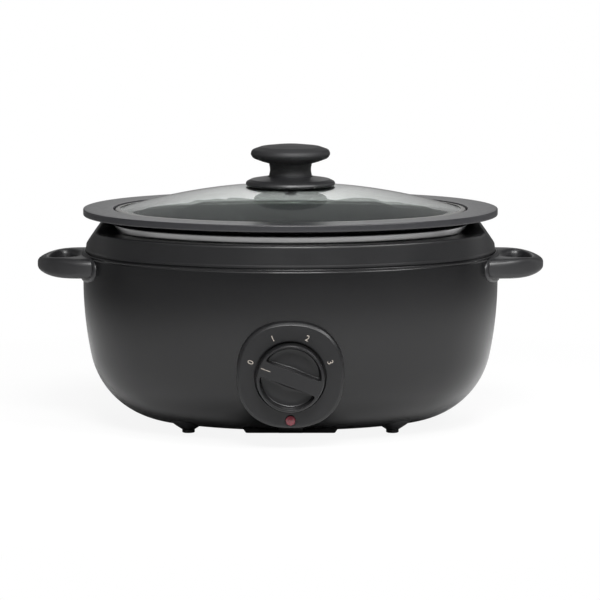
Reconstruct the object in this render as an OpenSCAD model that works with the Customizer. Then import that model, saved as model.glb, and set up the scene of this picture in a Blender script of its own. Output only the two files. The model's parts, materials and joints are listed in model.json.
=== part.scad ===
// Oval slow cooker with a lift-out pot, a glass lid and a rotary dial.
// Origin: middle of the whole plan, on the surface it stands on. Front faces -Y, +Z is up.

/* [Body] */
// Length of the body over its widest line, end to end
body_len = 356; // [340:1:380]
// Depth of the body over its widest line, front to back
body_dep = 273; // [266:1:290]
// Height of the body's widest line
waist_z = 125; // [115:1:135]
// Height of the seam between the shell and the top collar
seam_z = 150; // [146:1:154]
// Height of the shell's underside
shell_z = 4.5; // [4:0.1:6]
// Radius of the shell's side seen from the front, above its turn
side_r = 320; // [260:5:360]
// Slope at which the side turns into the rounded bottom, in degrees
turn_deg = 11.5; // [8:0.5:16]
// Sheet thickness of the shell
shell_wall = 1.2; // [0.8:0.1:1.6]
// Width of the flanges turned in at the shell's top and bottom
shell_flange = 10; // [8:0.5:12]

/* [Top collar] */
// How far the collar's wall stands inside the shell's edge
collar_step = 1.2; // [0.8:0.1:2]
// Height of the collar's front edge above the seam
collar_h = 19; // [17:0.5:21]
// Lean of the collar's wall towards its top
collar_lean = 2; // [1:0.1:3]
// Height of the dark joint line at the seam
seam_gap = 0.8; // [0.5:0.1:1.2]
// Wall thickness of the collar
collar_wall = 2.6; // [2:0.1:3]
// Height of the raised end pads above the collar's front edge
pad_h = 8.3; // [6:0.1:9]
// Length of each pad at the collar's opening, front to back
pad_len = 100; // [80:1:120]
// Slope of the collar's ends from upright, in degrees
end_slope = 37; // [34:1:40]
// Height above the seam where the end slope starts
end_rise = 6; // [5:0.5:8]

/* [Pot] */
// How far the pot's flange stops short of the body's widest line at each end
flange_end_in = 0.3; // [0:0.1:5]
// How far the pot's flange stands out over the body's widest line at the front and back
flange_side_out = 5; // [3:0.5:8]
// Width of the flange, from its edge to the pot's wall
flange_w = 30.4; // [29:0.2:32]
// Height of the flange's underside above the liner's rim
flange_up = 9.6; // [8:0.1:12]
// Thickness of the flange
flange_t = 2.5; // [2:0.1:3]
// Wall thickness of the pot
pot_wall = 2.4; // [2:0.1:3]
// Height of the pot's underside
pot_z = 52; // [48:1:60]
// How much narrower the pot is at its bottom, each side
pot_draft = 5; // [3:0.5:7]
// Radius of the pot's bottom corner
pot_corner_r = 16; // [12:1:20]
// Depth of the seat for the lid below the flange's top
seat_d = 4.4; // [3.8:0.1:5]
// Width of the seat for the lid, outside the pot's wall
seat_w = 3.8; // [3:0.1:5]

/* [Heating liner] */
// Clearance between the pot's wall and the liner's rolled rim
pot_gap = 1; // [0.6:0.1:1.5]
// Radius of the liner's rolled rim
rim_r = 2.8; // [2.4:0.1:3.2]
// Height of the rolled rim above the collar's front edge
rim_up = 0.3; // [0:0.1:2]
// Sheet thickness of the liner
liner_wall = 1.2; // [0.8:0.1:1.5]
// Clearance between parts that lie side by side
ease = 0.3; // [0.2:0.05:0.4]
// Thickness of the band heater
heater_t = 2; // [1.5:0.1:3]
// Height of the band heater
heater_h = 30; // [20:1:40]
// Height of the band heater's lower edge above the pot's underside
heater_up = 16; // [14:1:20]
// Thickness of the insulation
blanket_t = 7; // [5:0.5:8]
// Height of the insulation
blanket_h = 66; // [50:1:75]
// Gap between the two blankets at the rear
blanket_gap = 44; // [36:1:60]
// Width of the clamp that closes the band heater
clamp_w = 18; // [14:1:24]
// Thickness of the clamp
clamp_t = 4; // [3:0.5:6]
// Distance of the thermostat to the right of the middle
stat_x = 45; // [35:1:60]
// Radius of the thermostat's case
stat_r = 8; // [6:0.5:10]
// Height of the thermostat's case
stat_h = 9; // [7:0.5:12]
// Distance of the thermal fuse to the left of the middle
fuse_x = 52; // [40:1:70]
// Distance of the thermostat and the fuse behind the middle
sensor_y = 20; // [10:1:40]
// Radius of the thermal fuse
fuse_r = 2; // [1.5:0.1:2.5]
// Length of the thermal fuse
fuse_len = 16; // [12:1:20]

/* [Lid] */
// Clearance between the lid's rim and the pot's seat
lid_gap = 0.8; // [0.5:0.1:1.2]
// Width of the lid's steel rim, seen from above
lid_rim_w = 4; // [3.5:0.1:5]
// Sheet thickness of the lid's steel rim
lid_rim_t = 0.7; // [0.5:0.1:0.9]
// Height of the lid's steel rim
lid_rim_h = 5.4; // [5:0.1:6]
// Rise of the glass from its rim to its middle
dome_h = 18.4; // [14:0.1:20]
// Distance from the rim over which the glass rises
dome_w = 82; // [70:1:84]
// Roundness of the rise: 1 is a straight slope and 2 is an even curve
dome_power = 1.2; // [1:0.1:2.4]
// Thickness of the glass, which fills the rim between its two lips
glass_t = 4; // [3.5:0.1:4]

/* [Lid knob] */
// Radius of the knob's head
head_r = 33.8; // [28:0.2:36]
// Height of the knob's head
head_h = 15; // [12:0.5:18]
// Radius of the knob's neck
neck_r = 18.3; // [14:0.1:20]
// Height of the neck between skirt and head
neck_h = 13; // [11:0.5:18]
// Radius of the skirt under the neck
skirt_r = 38.4; // [34:0.2:42]
// Height of the skirt
skirt_h = 8.2; // [7:0.2:10]
// Wall thickness of the knob's mouldings
knob_wall = 2.5; // [2:0.1:3]
// Radius of the screw that holds the knob
lid_screw_r = 2.5; // [2:0.1:3]

/* [Side handles] */
// Reach of each handle beyond the end of the body
handle_out = 39.2; // [35:0.1:42]
// Radius of the handle's round plan
handle_r = 50; // [46:1:54]
// Height of the handle
handle_h = 17.5; // [15:0.5:22]
// Depth of the handle's top below the seam
handle_down = 2; // [1:0.5:4]
// Length of the handle's rounded nose, seen from the front
nose_len = 15; // [9:0.5:18]
// Length of the finger slot, front to back
slot_len = 54; // [46:1:60]
// Width of the finger slot
slot_w = 23; // [20:0.5:25]
// Thickness of the handle outside its finger slot
grip_t = 10.6; // [9:0.2:13]
// Angle between a handle's screws and its middle, in degrees
handle_screw_deg = 17; // [14:1:19]
// Length of a handle's screws in the handle
handle_bite = 11.5; // [9:0.5:12]

/* [Control panel] */
// Width of the control panel
panel_w = 88.8; // [84:0.2:94]
// Height of the control panel
panel_h = 88.5; // [84:0.5:92]
// Height of the panel's middle
panel_z = 62.8; // [60:0.1:65]
// How square the panel's outline is: 2 is an ellipse, and more is squarer
panel_power = 2.35; // [2:0.05:4]
// Distance of the panel's face in front of the body's widest line
panel_out = 5; // [4:0.5:8]
// Width of the chamfer round the panel's face
panel_bevel = 2; // [1:0.1:2.5]
// Thickness of the panel's face
panel_t = 6; // [5:0.1:7]
// Wall thickness of the panel's sides
panel_wall = 2.6; // [2:0.1:3.2]
// Drop of the dial's centre below the panel's middle
dial_drop = 1.1; // [0:0.1:2]
// Distance of the panel's screws from its side edges
boss_in = 15.4; // [14:0.1:20]
// Distance of the panel's screws below its top edge
boss_drop = 17.5; // [16:0.5:22]
// Width of the chin under the shell at its lower edge
chin_w = 75; // [70:1:80]
// How much wider the chin is at its upper edge, each side
chin_flare = 4; // [2:0.5:6]
// Width of the web between the panel and the chin
chin_web_w = 20; // [14:1:30]
// Distance of the chin's lower edge behind the panel's face
chin_len = 61; // [54:1:64]
// Height of the chin's lower edge
chin_z = 4.4; // [3.8:0.1:5]

/* [Dial] */
// Radius of the dial
dial_r = 28; // [24:0.2:29]
// Gap between the dial and its round pocket
dial_gap = 1.2; // [0.8:0.1:2]
// Depth of the dial's round pocket in the panel
pocket_d = 4; // [3:0.1:4.5]
// Height of the dial in front of the panel's face
dial_out = 12; // [11:0.5:15]
// Depth of the two finger recesses in the dial
recess_d = 9; // [8:0.1:10]
// Width of the rim round the recesses
dial_rim = 3.2; // [2.5:0.1:4]
// Width of the grip bar across the dial
bar_w = 14; // [11:0.2:16]
// Angle of the grip bar at its rest position, in degrees above level on the left
bar_deg = 20.5; // [15:0.5:25]
// Length of the pointer mark
mark_len = 8; // [6:0.5:10]
// Width of the pointer mark
mark_w = 1; // [0.8:0.1:1.4]
// Radius of the switch shaft
shaft_r = 3; // [2.5:0.1:3.2]
// Running clearance of the shaft, on the radius
shaft_play = 0.05; // [0.03:0.01:0.09]
// Radius of the switch's threaded bush
bush_r = 4.5; // [4.2:0.1:5]
// Side of the switch's square case
switch_w = 30; // [26:1:34]
// Depth of the switch's case
switch_d = 13; // [12:0.5:14]
// Height of the indicator lamp above the panel's lower edge
lamp_up = 6.9; // [6:0.1:8]
// Radius of the indicator lens
lens_r = 4.1; // [3.5:0.1:4.5]

/* [Base] */
// Angle of each foot from the middle of the body's long side, in degrees
foot_side_deg = 33.2; // [26:0.1:36]
// How far each foot stands outside the flat of the shell's bottom
foot_out = 14.7; // [10:0.1:24]
// How far each foot reaches up the shell's curve from where its middle meets it
foot_up = 8; // [5:0.1:9]
// Radius of a foot where it meets the shell
foot_top_r = 22.3; // [16:0.1:24]
// Radius of a foot at its lower end
foot_low_r = 5.8; // [5.4:0.1:8]
// Height of the rubber tips
tip_h = 3; // [2:0.1:3.5]
// Radius of the rubber tips
tip_r = 5.4; // [5:0.1:6]
// Length of the peg that holds each tip
peg_h = 1.8; // [1:0.1:2]
// Length of a foot's screw in the foot
foot_bite = 3.8; // [3:0.1:4]
// Thickness of the base plate
plate_t = 1.2; // [1:0.1:1.5]
// Height of the heat shield above the base plate
shield_up = 24; // [20:1:28]
// Thickness of the heat shield
shield_t = 1; // [0.6:0.1:1.2]
// Distance of the heat shield's edge inside the liner's wall
shield_in = 30; // [25:1:40]
// Radius of the tie stud in the middle of the base
stud_r = 2.5; // [2:0.1:3]
// Height of the nuts on the tie stud and the gland
nut_h = 2.4; // [2:0.1:3.2]
// Length of the vent slots in the base plate
vent_len = 18; // [12:1:24]
// Width of the vent slots
vent_w = 3; // [2:0.5:4]
// Distance between neighbouring vent slots
vent_step = 15; // [12:1:20]
// Distance of the two rows of vent slots from the middle
vent_y = 22; // [18:1:30]
// Radius of the cord hole in the gland
gland_bore_r = 3.6; // [3:0.1:4.2]
// Wall thickness of the gland's threaded part
gland_wall = 3; // [2.5:0.1:4]
// How far the gland points down from level, in degrees
gland_deg = 24; // [15:1:30]
// Distance of the terminal block to the right of the middle, and behind it
block_x = 20; // [14:1:40]
block_y = 20; // [16:1:30]
// Width of one pole of the terminal block
pole_w = 11; // [9:0.5:12]
// Depth of the terminal block
block_dep = 16; // [14:1:20]
// Height of the terminal block
block_h = 14; // [12:1:18]
// Radius of the small fixing screws
screw_r = 1.9; // [1.5:0.1:2.2]
// Radius of their heads
screw_head_r = 3.6; // [3.2:0.1:4]
// Height of their heads
screw_head_h = 2; // [1.5:0.1:2.5]

/* [Hidden] */
$fn = 96;

// A four-arc oval whose arc centres stand on a 3-4-5 triangle, so the arcs meet at a tangent:
// [end centre's x, side centre's y, end radius, side radius, the triangle's unit]
function oval(length, depth) =
    let (k = (length - depth) / 4, end_r = depth / 2 - k)
    [3 * k, 4 * k, end_r, end_r + 5 * k, k];
// The angle at which the end and side arcs meet
joint_deg = atan2(4, 3);
// Profiles keep to thousandths of a millimetre, so that neighbouring sweeps meet exactly
function snap(pts) = [for (p = pts) [round(p[0] * 1000) / 1000, round(p[1] * 1000) / 1000]];
// Points along an arc in a profile, from angle a to angle b
function arc(x, z, r, a, b, n) =
    [for (i = [0:n]) let (t = a + (b - a) * i / n) [x + r * cos(t), z + r * sin(t)]];
function flip(pts) = [for (i = [len(pts) - 1:-1:0]) pts[i]];

// Long enough for a cutter to pass right through any piece
past = 2 * body_dep;
flange_len = body_len - 2 * flange_end_in;
flange_dep = body_dep + 2 * flange_side_out;
body_oval = oval(body_len, body_dep);
pot_oval = oval(flange_len, flange_dep);
body_end_r = body_oval[2];

// The shell's profile: u counts outward from the body's widest line
turn_u = -side_r * (1 - cos(turn_deg));
turn_z = waist_z - side_r * sin(turn_deg);
bowl_r = (turn_z - shell_z) / (1 - sin(turn_deg));
bowl_u = turn_u - bowl_r * cos(turn_deg);
bowl_z = shell_z + bowl_r;
top_deg = asin((seam_z - waist_z) / side_r);
shell_top_u = -side_r * (1 - cos(top_deg));
lip_u = bowl_u - shell_flange;
// The shell's side: how far it stands out at height z, and its depth there at a distance x
function side_u(z) = sqrt(side_r * side_r - pow(z - waist_z, 2)) - side_r;
function side_y(x, z) = sqrt(pow(body_oval[3] + side_u(z), 2) - x * x) - body_oval[1];
// The shell's outer curve from top to bottom, moved outward by d
function shell_curve(d) = concat(
    arc(-side_r, waist_z, side_r + d, top_deg, -turn_deg, 4),
    [for (i = [1:10]) let (t = -turn_deg - (90 - turn_deg) * i / 10)
        [bowl_u + (bowl_r + d) * cos(t), bowl_z + (bowl_r + d) * sin(t)]]);

collar_u = shell_top_u - collar_step;
collar_z = seam_z + collar_h;
pad_z = collar_z + pad_h;
// Radius of the pads' crown
pad_r = pad_len * pad_len / 8 / pad_h;
end_x = body_len / 2 + collar_u;

// The pot's and the liner's profiles: u counts outward from the flange's edge
rim_z = collar_z + rim_up + rim_r;
flange_z = rim_z + rim_r + flange_up + flange_t;
wall_u = -flange_w;
seat_z = flange_z - seat_d;
seat_u = wall_u + seat_w;
wall_z = seat_z - pot_wall - seat_w + 0.8;
rim_u = wall_u + pot_gap + rim_r;
liner_u = rim_u + liner_wall / 2;
heater_z = pot_z + heater_up;
heater_u = liner_u + ease;
blanket_u = heater_u + heater_t + ease;
liner_end_x = flange_len / 2 + liner_u;
liner_side_y = flange_dep / 2 + liner_u;

lid_u = seat_u - lid_gap;
glass_u = lid_u - lid_rim_t - ease;
glass_z = seat_z + lid_rim_t;
skirt_z = glass_z + dome_h + glass_t;
neck_z = skirt_z + skirt_h;
head_z = neck_z + neck_h;
top_z = head_z + head_h;
edge_r = head_h * 0.4;

panel_front = body_dep / 2 + panel_out;
pocket_y = panel_front - pocket_d;
wall_y = panel_front - panel_t;
dial_y = panel_front + dial_out;
panel_back = body_dep / 2 - 47;
switch_window = switch_w + 14;
dial_back = pocket_y + 2 * ease;
recess_y = dial_y - recess_d;
bush_y = pocket_y + nut_h + 1.1;
mark_sunk = 0.4;
panel_low = panel_z - panel_h / 2;
dial_z = panel_z - dial_drop;
lamp_z = panel_low + lamp_up;
chin_back = panel_front - chin_len;
chin_depth = 12;
boss_x = panel_w / 2 - boss_in;
boss_z = panel_z + panel_h / 2 - boss_drop;
boss_r = screw_r + panel_wall;
handle_reach = body_len / 2 + handle_out;
handle_z = seam_z - handle_down;
handle_mid_z = handle_z - handle_h / 2;

plate_z = shell_z - plate_t;
shield_z = shell_z + shield_up;
liner_floor_z = pot_z - liner_wall;
foot_deg = 90 - foot_side_deg;
foot_r = body_oval[3] + bowl_u + foot_out;
foot_x = foot_r * cos(foot_deg);
foot_y = foot_r * sin(foot_deg) - body_oval[1];
foot_tilt = acos(foot_out / bowl_r);
peg_r = tip_r - 1.8;
foot_top_z = bowl_z - bowl_r * sin(foot_tilt) + foot_up;
gland_r = gland_bore_r + gland_wall;
gland_nut_h = 1.7 * nut_h;
block_w = 3 * pole_w + 1;

// The origin is the middle of the plan, so the body's axis stands this far behind it
axis_y = (dial_y - flange_dep / 2) / 2;
module placed() translate([0, axis_y, 0]) children();

// Runs a profile round an oval as tangent sweeps: two halves of each end, and each side
module around(o) {
    for (s = [0, 180]) rotate([0, 0, s]) {
        for (start = [-joint_deg, 0]) translate([o[0], 0, 0])
            rotate_extrude(angle = joint_deg, start = start) translate([o[2], 0]) children();
        translate([0, -o[1], 0]) rotate_extrude(angle = 180 - 2 * joint_deg, start = joint_deg)
            translate([o[3], 0]) children();
    }
}
// One sector of a filled oval, from the radius r0 out to the profile
module wedge(r0, r, from, span, pts)
    rotate_extrude(angle = span, start = from)
        polygon(concat([[r0, pts[0][1]]], [for (p = pts) [r + p[0], p[1]]],
                       [[r0, pts[len(pts) - 1][1]]]));
// A filled oval: the points are its outer profile, from its bottom to its top
module filled(o, profile) {
    pts = snap(profile);
    low = pts[0][1];
    high = pts[len(pts) - 1][1];
    for (s = [0, 180]) rotate([0, 0, s]) {
        for (start = [-joint_deg, 0]) translate([o[0], 0, 0])
            wedge(0, o[2], start, joint_deg, pts);
        translate([0, -o[1], 0]) wedge(5 * o[4], o[3], joint_deg, 180 - 2 * joint_deg, pts);
    }
    // Core between the side sectors, which it overlaps by half a millimetre
    intersection_for (s = [-1, 1]) translate([0, s * o[1], low])
        cylinder(r = 5 * o[4] + 0.5, h = high - low);
}
module slab(o, u, z0, z1) filled(o, [[u, z0], [u, z1]]);
// The space that the shell takes up, grown by d, to cut what lies against it
module shell_space(d) filled(body_oval, flip(shell_curve(d)));

// A cylinder that points to the front, between two distances from the body's axis
module front_rod(x, z, r, y0, y1) translate([x, -y0, z]) rotate([90, 0, 0]) cylinder(r = r, h = y1 - y0);
// A cylinder that points to an end, from the centre of the end arc
module end_rod(side, deg, z, r, r0, r1)
    rotate([0, 0, side < 0 ? 180 : 0]) translate([body_oval[0], 0, z]) rotate([0, 0, deg])
        translate([r0, 0, 0]) rotate([0, 90, 0]) cylinder(r = r, h = r1 - r0);
// Places a child square to the shell's rounded bottom: its +Z points out of the shell
module on_bowl(deg, tilt) translate([0, -body_oval[1], 0]) rotate([0, 0, deg])
    translate([body_oval[3] + bowl_u, 0, bowl_z]) rotate([0, 90 + tilt, 0])
        translate([0, 0, bowl_r]) children();
module feet() for (x = [0, 1], y = [0, 1]) mirror([x, 0, 0]) mirror([0, y, 0]) children();

// A screw that points up from z = 0, with its head below
module screw(length, head_h = screw_head_h) {
    translate([0, 0, -head_h]) cylinder(r = screw_head_r, h = head_h);
    cylinder(r = screw_r, h = length);
}

module outer_shell() color([0.13, 0.13, 0.13]) difference() {
    around(body_oval) polygon(concat(
        shell_curve(0), [[lip_u, shell_z], [lip_u, shell_z + shell_wall]],
        flip(shell_curve(-shell_wall)),
        [[shell_top_u - shell_wall, seam_z - shell_wall],
         [shell_top_u - shell_flange, seam_z - shell_wall], [shell_top_u - shell_flange, seam_z]]));
    // Window behind the dial for the switch
    translate([-switch_window / 2, -past, dial_z - switch_window / 2])
        cube([switch_window, past, switch_window]);
    for (s = [-1, 1], d = [-1, 1])
        end_rod(s, d * handle_screw_deg, handle_mid_z, screw_r + ease, body_end_r / 2, body_end_r + 10);
    for (x = [-1, 1]) front_rod(x * boss_x, boss_z, screw_r + ease, body_dep / 4, panel_front);
    feet() on_bowl(foot_deg, foot_tilt) hole_through(screw_r + ease);
    on_bowl(90, gland_deg) hole_through(gland_r + 0.2);
    base_screw_places() hole_through(screw_r + ease);
    collar_screw_places() hole_through(screw_r + ease);
}
module hole_through(r) translate([0, 0, -10]) cylinder(r = r, h = 20);

module collar_screw_places() for (s = [0, 180], d = [-32, 32]) rotate([0, 0, s])
    translate([body_oval[0], 0, seam_z]) rotate([0, 0, d])
        translate([body_end_r + shell_top_u - shell_flange / 2 - 0.5, 0, 0]) children();
// What the two sloped ends take off the collar
module collar_slopes() for (s = [0, 180]) rotate([0, 0, s]) translate([end_x, 0, seam_z + end_rise])
    rotate([0, -end_slope, 0]) translate([0, -past / 2, -collar_h]) cube([past, past, past]);
module top_collar() color([0.17, 0.17, 0.17]) difference() {
    union() {
        filled(body_oval, [[collar_u - 1, seam_z], [collar_u - 1, seam_z + seam_gap],
                           [collar_u, seam_z + seam_gap], [collar_u, seam_z + seam_gap + 2],
                           [collar_u - collar_lean, collar_z - 1.5],
                           [collar_u - collar_lean - 0.5, collar_z - 0.4],
                           [collar_u - collar_lean - 1.6, collar_z]]);
        // Raised end pads under a barrel-shaped crown
        intersection() {
            slab(body_oval, collar_u - collar_lean - 0.5, seam_z + collar_wall, pad_z + 1);
            difference() {
                translate([-past / 2, 0, pad_z - pad_r]) rotate([0, 90, 0])
                    cylinder(r = pad_r, h = past, $fn = 200);
                cube([liner_end_x, past, past], center = true);
            }
        }
        // Seat of the liner's rolled rim
        slab(pot_oval, rim_u + rim_r - 1, seam_z + collar_wall, rim_z - rim_r);
    }
    collar_slopes();
    slab(pot_oval, liner_u + ease, seam_z - 1, pad_z + 1);
    // Recess round the rolled rim, above its seat
    slab(pot_oval, rim_u + rim_r + ease, rim_z - rim_r, pad_z + 1);
    // Hollow underside
    difference() {
        slab(body_oval, collar_u - collar_lean - collar_wall, seam_z - 1, collar_z - collar_wall - 1);
        slab(pot_oval, liner_u + ease + collar_wall, seam_z - 2, collar_z);
        collar_screw_places() cylinder(r = screw_r + collar_wall, h = collar_h);
    }
    collar_screw_places() cylinder(r = screw_r + 0.05, h = collar_h / 2);
}
module collar_screws() color([0.7, 0.7, 0.7]) collar_screw_places()
    translate([0, 0, -shell_wall]) screw(shell_wall + collar_h / 2 - 0.5);

module heating_liner() color([0.8, 0.8, 0.8]) difference() {
    union() {
        filled(pot_oval, concat(arc(liner_u - pot_corner_r, liner_floor_z + pot_corner_r,
                                    pot_corner_r, -90, 0, 6), [[liner_u, rim_z]]));
        around(pot_oval) translate([rim_u, rim_z]) circle(r = rim_r, $fn = 24);
    }
    filled(pot_oval, concat(arc(liner_u - pot_corner_r, pot_z + pot_corner_r - liner_wall,
                                pot_corner_r - liner_wall, -90, 0, 6),
                            [[liner_u - liner_wall, rim_z + rim_r + 1]]));
}
module band_heater() color([0.5, 0.45, 0.35]) around(pot_oval)
    translate([heater_u, heater_z]) square([heater_t, heater_h]);
// The clamp's place on the band heater at the rear, facing outward
module on_clamp() translate([0, liner_side_y + ease + heater_t, heater_z + heater_h / 2])
    rotate([-90, 0, 0]) children();
module heater_clamp() color([0.7, 0.7, 0.7]) on_clamp() difference() {
    translate([-clamp_w / 2, clamp_t - heater_h / 2, 0]) cube([clamp_w, heater_h - 2 * clamp_t, clamp_t]);
    translate([0, 0, -1]) cylinder(r = screw_r + 0.05, h = clamp_t + 2);
}
module clamp_screw() color([0.75, 0.75, 0.75])
    on_clamp() translate([0, 0, clamp_t]) mirror([0, 0, 1]) screw(clamp_t - ease);
module insulation() color([0.85, 0.82, 0.7]) difference() {
    around(pot_oval) translate([blanket_u, heater_z - 2]) square([blanket_t, blanket_h]);
    translate([-panel_w / 2, -past, 0]) cube([panel_w, past, past]);
    translate([-blanket_gap / 2, 0, 0]) cube([blanket_gap, past, past]);
}

module heat_shield() color([0.65, 0.66, 0.68]) difference() {
    slab(pot_oval, liner_u - shield_in, shield_z, shield_z + shield_t);
    stud_space(0.1);
}
module thermostat() color([0.2, 0.2, 0.22]) translate([stat_x, sensor_y, liner_floor_z - stat_h]) {
    cylinder(r = stat_r, h = stat_h);
    translate([0, 0, -1.5]) cylinder(r = stat_r - 3, h = 2);
}
module thermal_fuse() color([0.85, 0.85, 0.8])
    translate([-fuse_x - fuse_len / 2, sensor_y, liner_floor_z - fuse_r - 2 * ease]) rotate([0, 90, 0])
        cylinder(r = fuse_r, h = fuse_len);
// A saddle round the fuse with two ears under the liner's floor
module fuse_clip() color([0.75, 0.75, 0.75])
    translate([-fuse_x - fuse_len / 4, sensor_y, liner_floor_z]) rotate([90, 0, 90])
        linear_extrude(fuse_len / 2) {
            side = fuse_r + 2 * ease;
            drop = 2 * fuse_r + 4 * ease;
            for (s = [0, 1]) mirror([s, 0]) {
                translate([side, -1]) square([6, 1]);
                translate([side, -drop - 1]) square([1, drop + 1]);
            }
            translate([-side - 1, -drop - 1]) square([2 * side + 2, 1]);
        }
// The space that the tie stud needs, with a clearance round it
module stud_space(gap) translate([0, 0, -past / 2]) cylinder(r = stud_r + gap, h = past);
module tie_stud() color([0.7, 0.7, 0.72]) translate([0, 0, plate_z - nut_h - 0.5])
    cylinder(r = stud_r, h = liner_floor_z - plate_z + nut_h + 0.5);
module stud_spacer() color([0.8, 0.8, 0.8]) difference() {
    translate([0, 0, shell_z]) cylinder(r = stud_r + 3.5, h = shield_up);
    stud_space(0.1);
}
module stud_washer() color([0.75, 0.75, 0.75]) difference() {
    translate([0, 0, shield_z + shield_t]) cylinder(r = stud_r + 5.5, h = 1);
    stud_space(0.1);
}
module stud_nuts() color([0.7, 0.7, 0.72]) difference() {
    for (z = [plate_z - nut_h, shield_z + shield_t + 1]) translate([0, 0, z])
        cylinder(r = stud_r + 2.1, h = nut_h, $fn = 6);
    stud_space(0.05);
}

// Two screws at the ends and two at the sides, in the shell's lower flange
module base_screw_places() {
    edge_u = lip_u + shell_flange / 2 - 1;
    for (s = [-1, 1]) translate([s * (body_len / 2 + edge_u), 0, plate_z]) children();
    for (s = [-1, 1]) translate([0, s * (body_dep / 2 + edge_u), plate_z]) children();
}
module base_plate() color([0.35, 0.35, 0.36]) difference() {
    slab(body_oval, bowl_u - 1, plate_z, shell_z);
    stud_space(0.1);
    base_screw_places() hole_through(screw_r + 0.1);
    for (i = [1:4], s = [-1, 1], y = [-1, 1])
        translate([s * i * vent_step - vent_w / 2, y * vent_y - vent_len / 2, 0])
            cube([vent_w, vent_len, shell_z + 1]);
}
module base_screws() color([0.7, 0.7, 0.7]) base_screw_places() screw(6, 1.8);
module base_feet() color([0.12, 0.12, 0.12]) difference() {
    feet() translate([foot_x, foot_y, tip_h]) {
        cylinder(r1 = foot_low_r, r2 = foot_top_r, h = foot_top_z - tip_h);
        translate([0, 0, -peg_h]) cylinder(r = peg_r, h = peg_h + 1);
    }
    shell_space(0.1);
    feet() on_bowl(foot_deg, foot_tilt) translate([0, 0, -2]) cylinder(r = screw_r, h = foot_bite + 2.3);
}
module foot_screws() color([0.7, 0.7, 0.7]) feet() on_bowl(foot_deg, foot_tilt)
    translate([0, 0, -shell_wall - 0.2]) {
        translate([0, 0, -screw_head_h]) cylinder(r = screw_head_r, h = screw_head_h);
        translate([0, 0, -1]) cylinder(r = screw_r - 0.05, h = foot_bite + shell_wall + 1.2);
    }
module rubber_feet() color([0.08, 0.08, 0.08]) feet() translate([foot_x, foot_y, 0]) difference() {
    cylinder(r = tip_r, h = tip_h);
    translate([0, 0, tip_h - peg_h - 0.2]) cylinder(r = peg_r + 0.1, h = tip_h);
}

// The panel's outline seen from the front, a superellipse, set in by d
function power_of(v) = sign(v) * pow(abs(v), 2 / panel_power);
module panel_outline(d) translate([0, panel_z]) polygon([for (a = [0:7.5:352.5])
    [(panel_w / 2 - d) * power_of(cos(a)), (panel_h / 2 - d) * power_of(sin(a))]]);
module panel_block(d, y0, y1) translate([0, -y0, 0]) rotate([90, 0, 0])
    linear_extrude(y1 - y0) panel_outline(d);
module both_bosses(r, y0, y1) for (x = [-1, 1]) front_rod(x * boss_x, boss_z, r, y0, y1);
module control_housing() color([0.15, 0.15, 0.15]) difference() {
    union() {
        difference() {
            union() {
                panel_block(0, panel_back, panel_front - panel_bevel);
                panel_block(panel_bevel * 0.3, panel_back, panel_front - panel_bevel * 0.3);
                panel_block(panel_bevel, panel_back, panel_front);
            }
            panel_block(panel_wall, panel_back - 1, wall_y);
        }
        // Web that runs down under the shell from the panel, and the chin at its end
        translate([-chin_web_w / 2, 0, 0]) rotate([90, 0, 90]) linear_extrude(chin_web_w)
            polygon([[-panel_front + 8, panel_low + 1], [-chin_back, chin_z],
                     [-chin_back + 8, chin_z], [-chin_back + 8, chin_z + 12],
                     [-panel_front + 8, panel_low + 12]]);
        translate([0, chin_depth - chin_back, chin_z]) rotate([90, 0, 0]) linear_extrude(chin_depth)
            polygon([[-chin_w / 2, 0], [chin_w / 2, 0], [chin_w / 2 + chin_flare, 6],
                     [-chin_w / 2 - chin_flare, 6]]);
        both_bosses(boss_r, panel_back, wall_y + 1);
    }
    shell_space(0.15);
    front_rod(0, dial_z, dial_r + dial_gap, pocket_y, panel_front + 1);
    front_rod(0, dial_z, bush_r + 0.1, wall_y - 10, panel_front + 1);
    front_rod(0, lamp_z, lens_r + 0.1, wall_y - 10, panel_front + 1);
    both_bosses(screw_r + 0.05, panel_back - 1, wall_y + 3.5);
    // Space behind the lamp
    translate([-lens_r - 2, -wall_y, lamp_z - lens_r]) cube([2 * lens_r + 4, past, 4 * lens_r]);
}
module housing_screws() color([0.7, 0.7, 0.7]) {
    // The heads lie against the shell's inner face
    y = side_y(boss_x + screw_head_r, boss_z - screw_head_r) - shell_wall - 0.15;
    both_bosses(screw_r, y - 1, wall_y + 3);
    both_bosses(screw_head_r, y - screw_head_h, y);
}
module rotary_switch() color([0.75, 0.72, 0.65]) difference() {
    union() {
        translate([-switch_w / 2, -wall_y, dial_z - switch_w / 2]) cube([switch_w, switch_d, switch_w]);
        front_rod(0, dial_z, bush_r, wall_y - 1, bush_y);
    }
    front_rod(0, dial_z, shaft_r + shaft_play, wall_y - switch_d + 3, bush_y + 1);
}
module switch_nut() color([0.7, 0.7, 0.7]) difference() {
    translate([0, -pocket_y, dial_z]) rotate([90, 0, 0])
        cylinder(r = bush_r + 3.5, h = nut_h, $fn = 6);
    front_rod(0, dial_z, bush_r + 0.05, pocket_y - 5, panel_front + 5);
}
module switch_shaft() color([0.8, 0.8, 0.82])
    front_rod(0, dial_z, shaft_r, wall_y - switch_d + 3.3, recess_y + 4);
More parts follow.
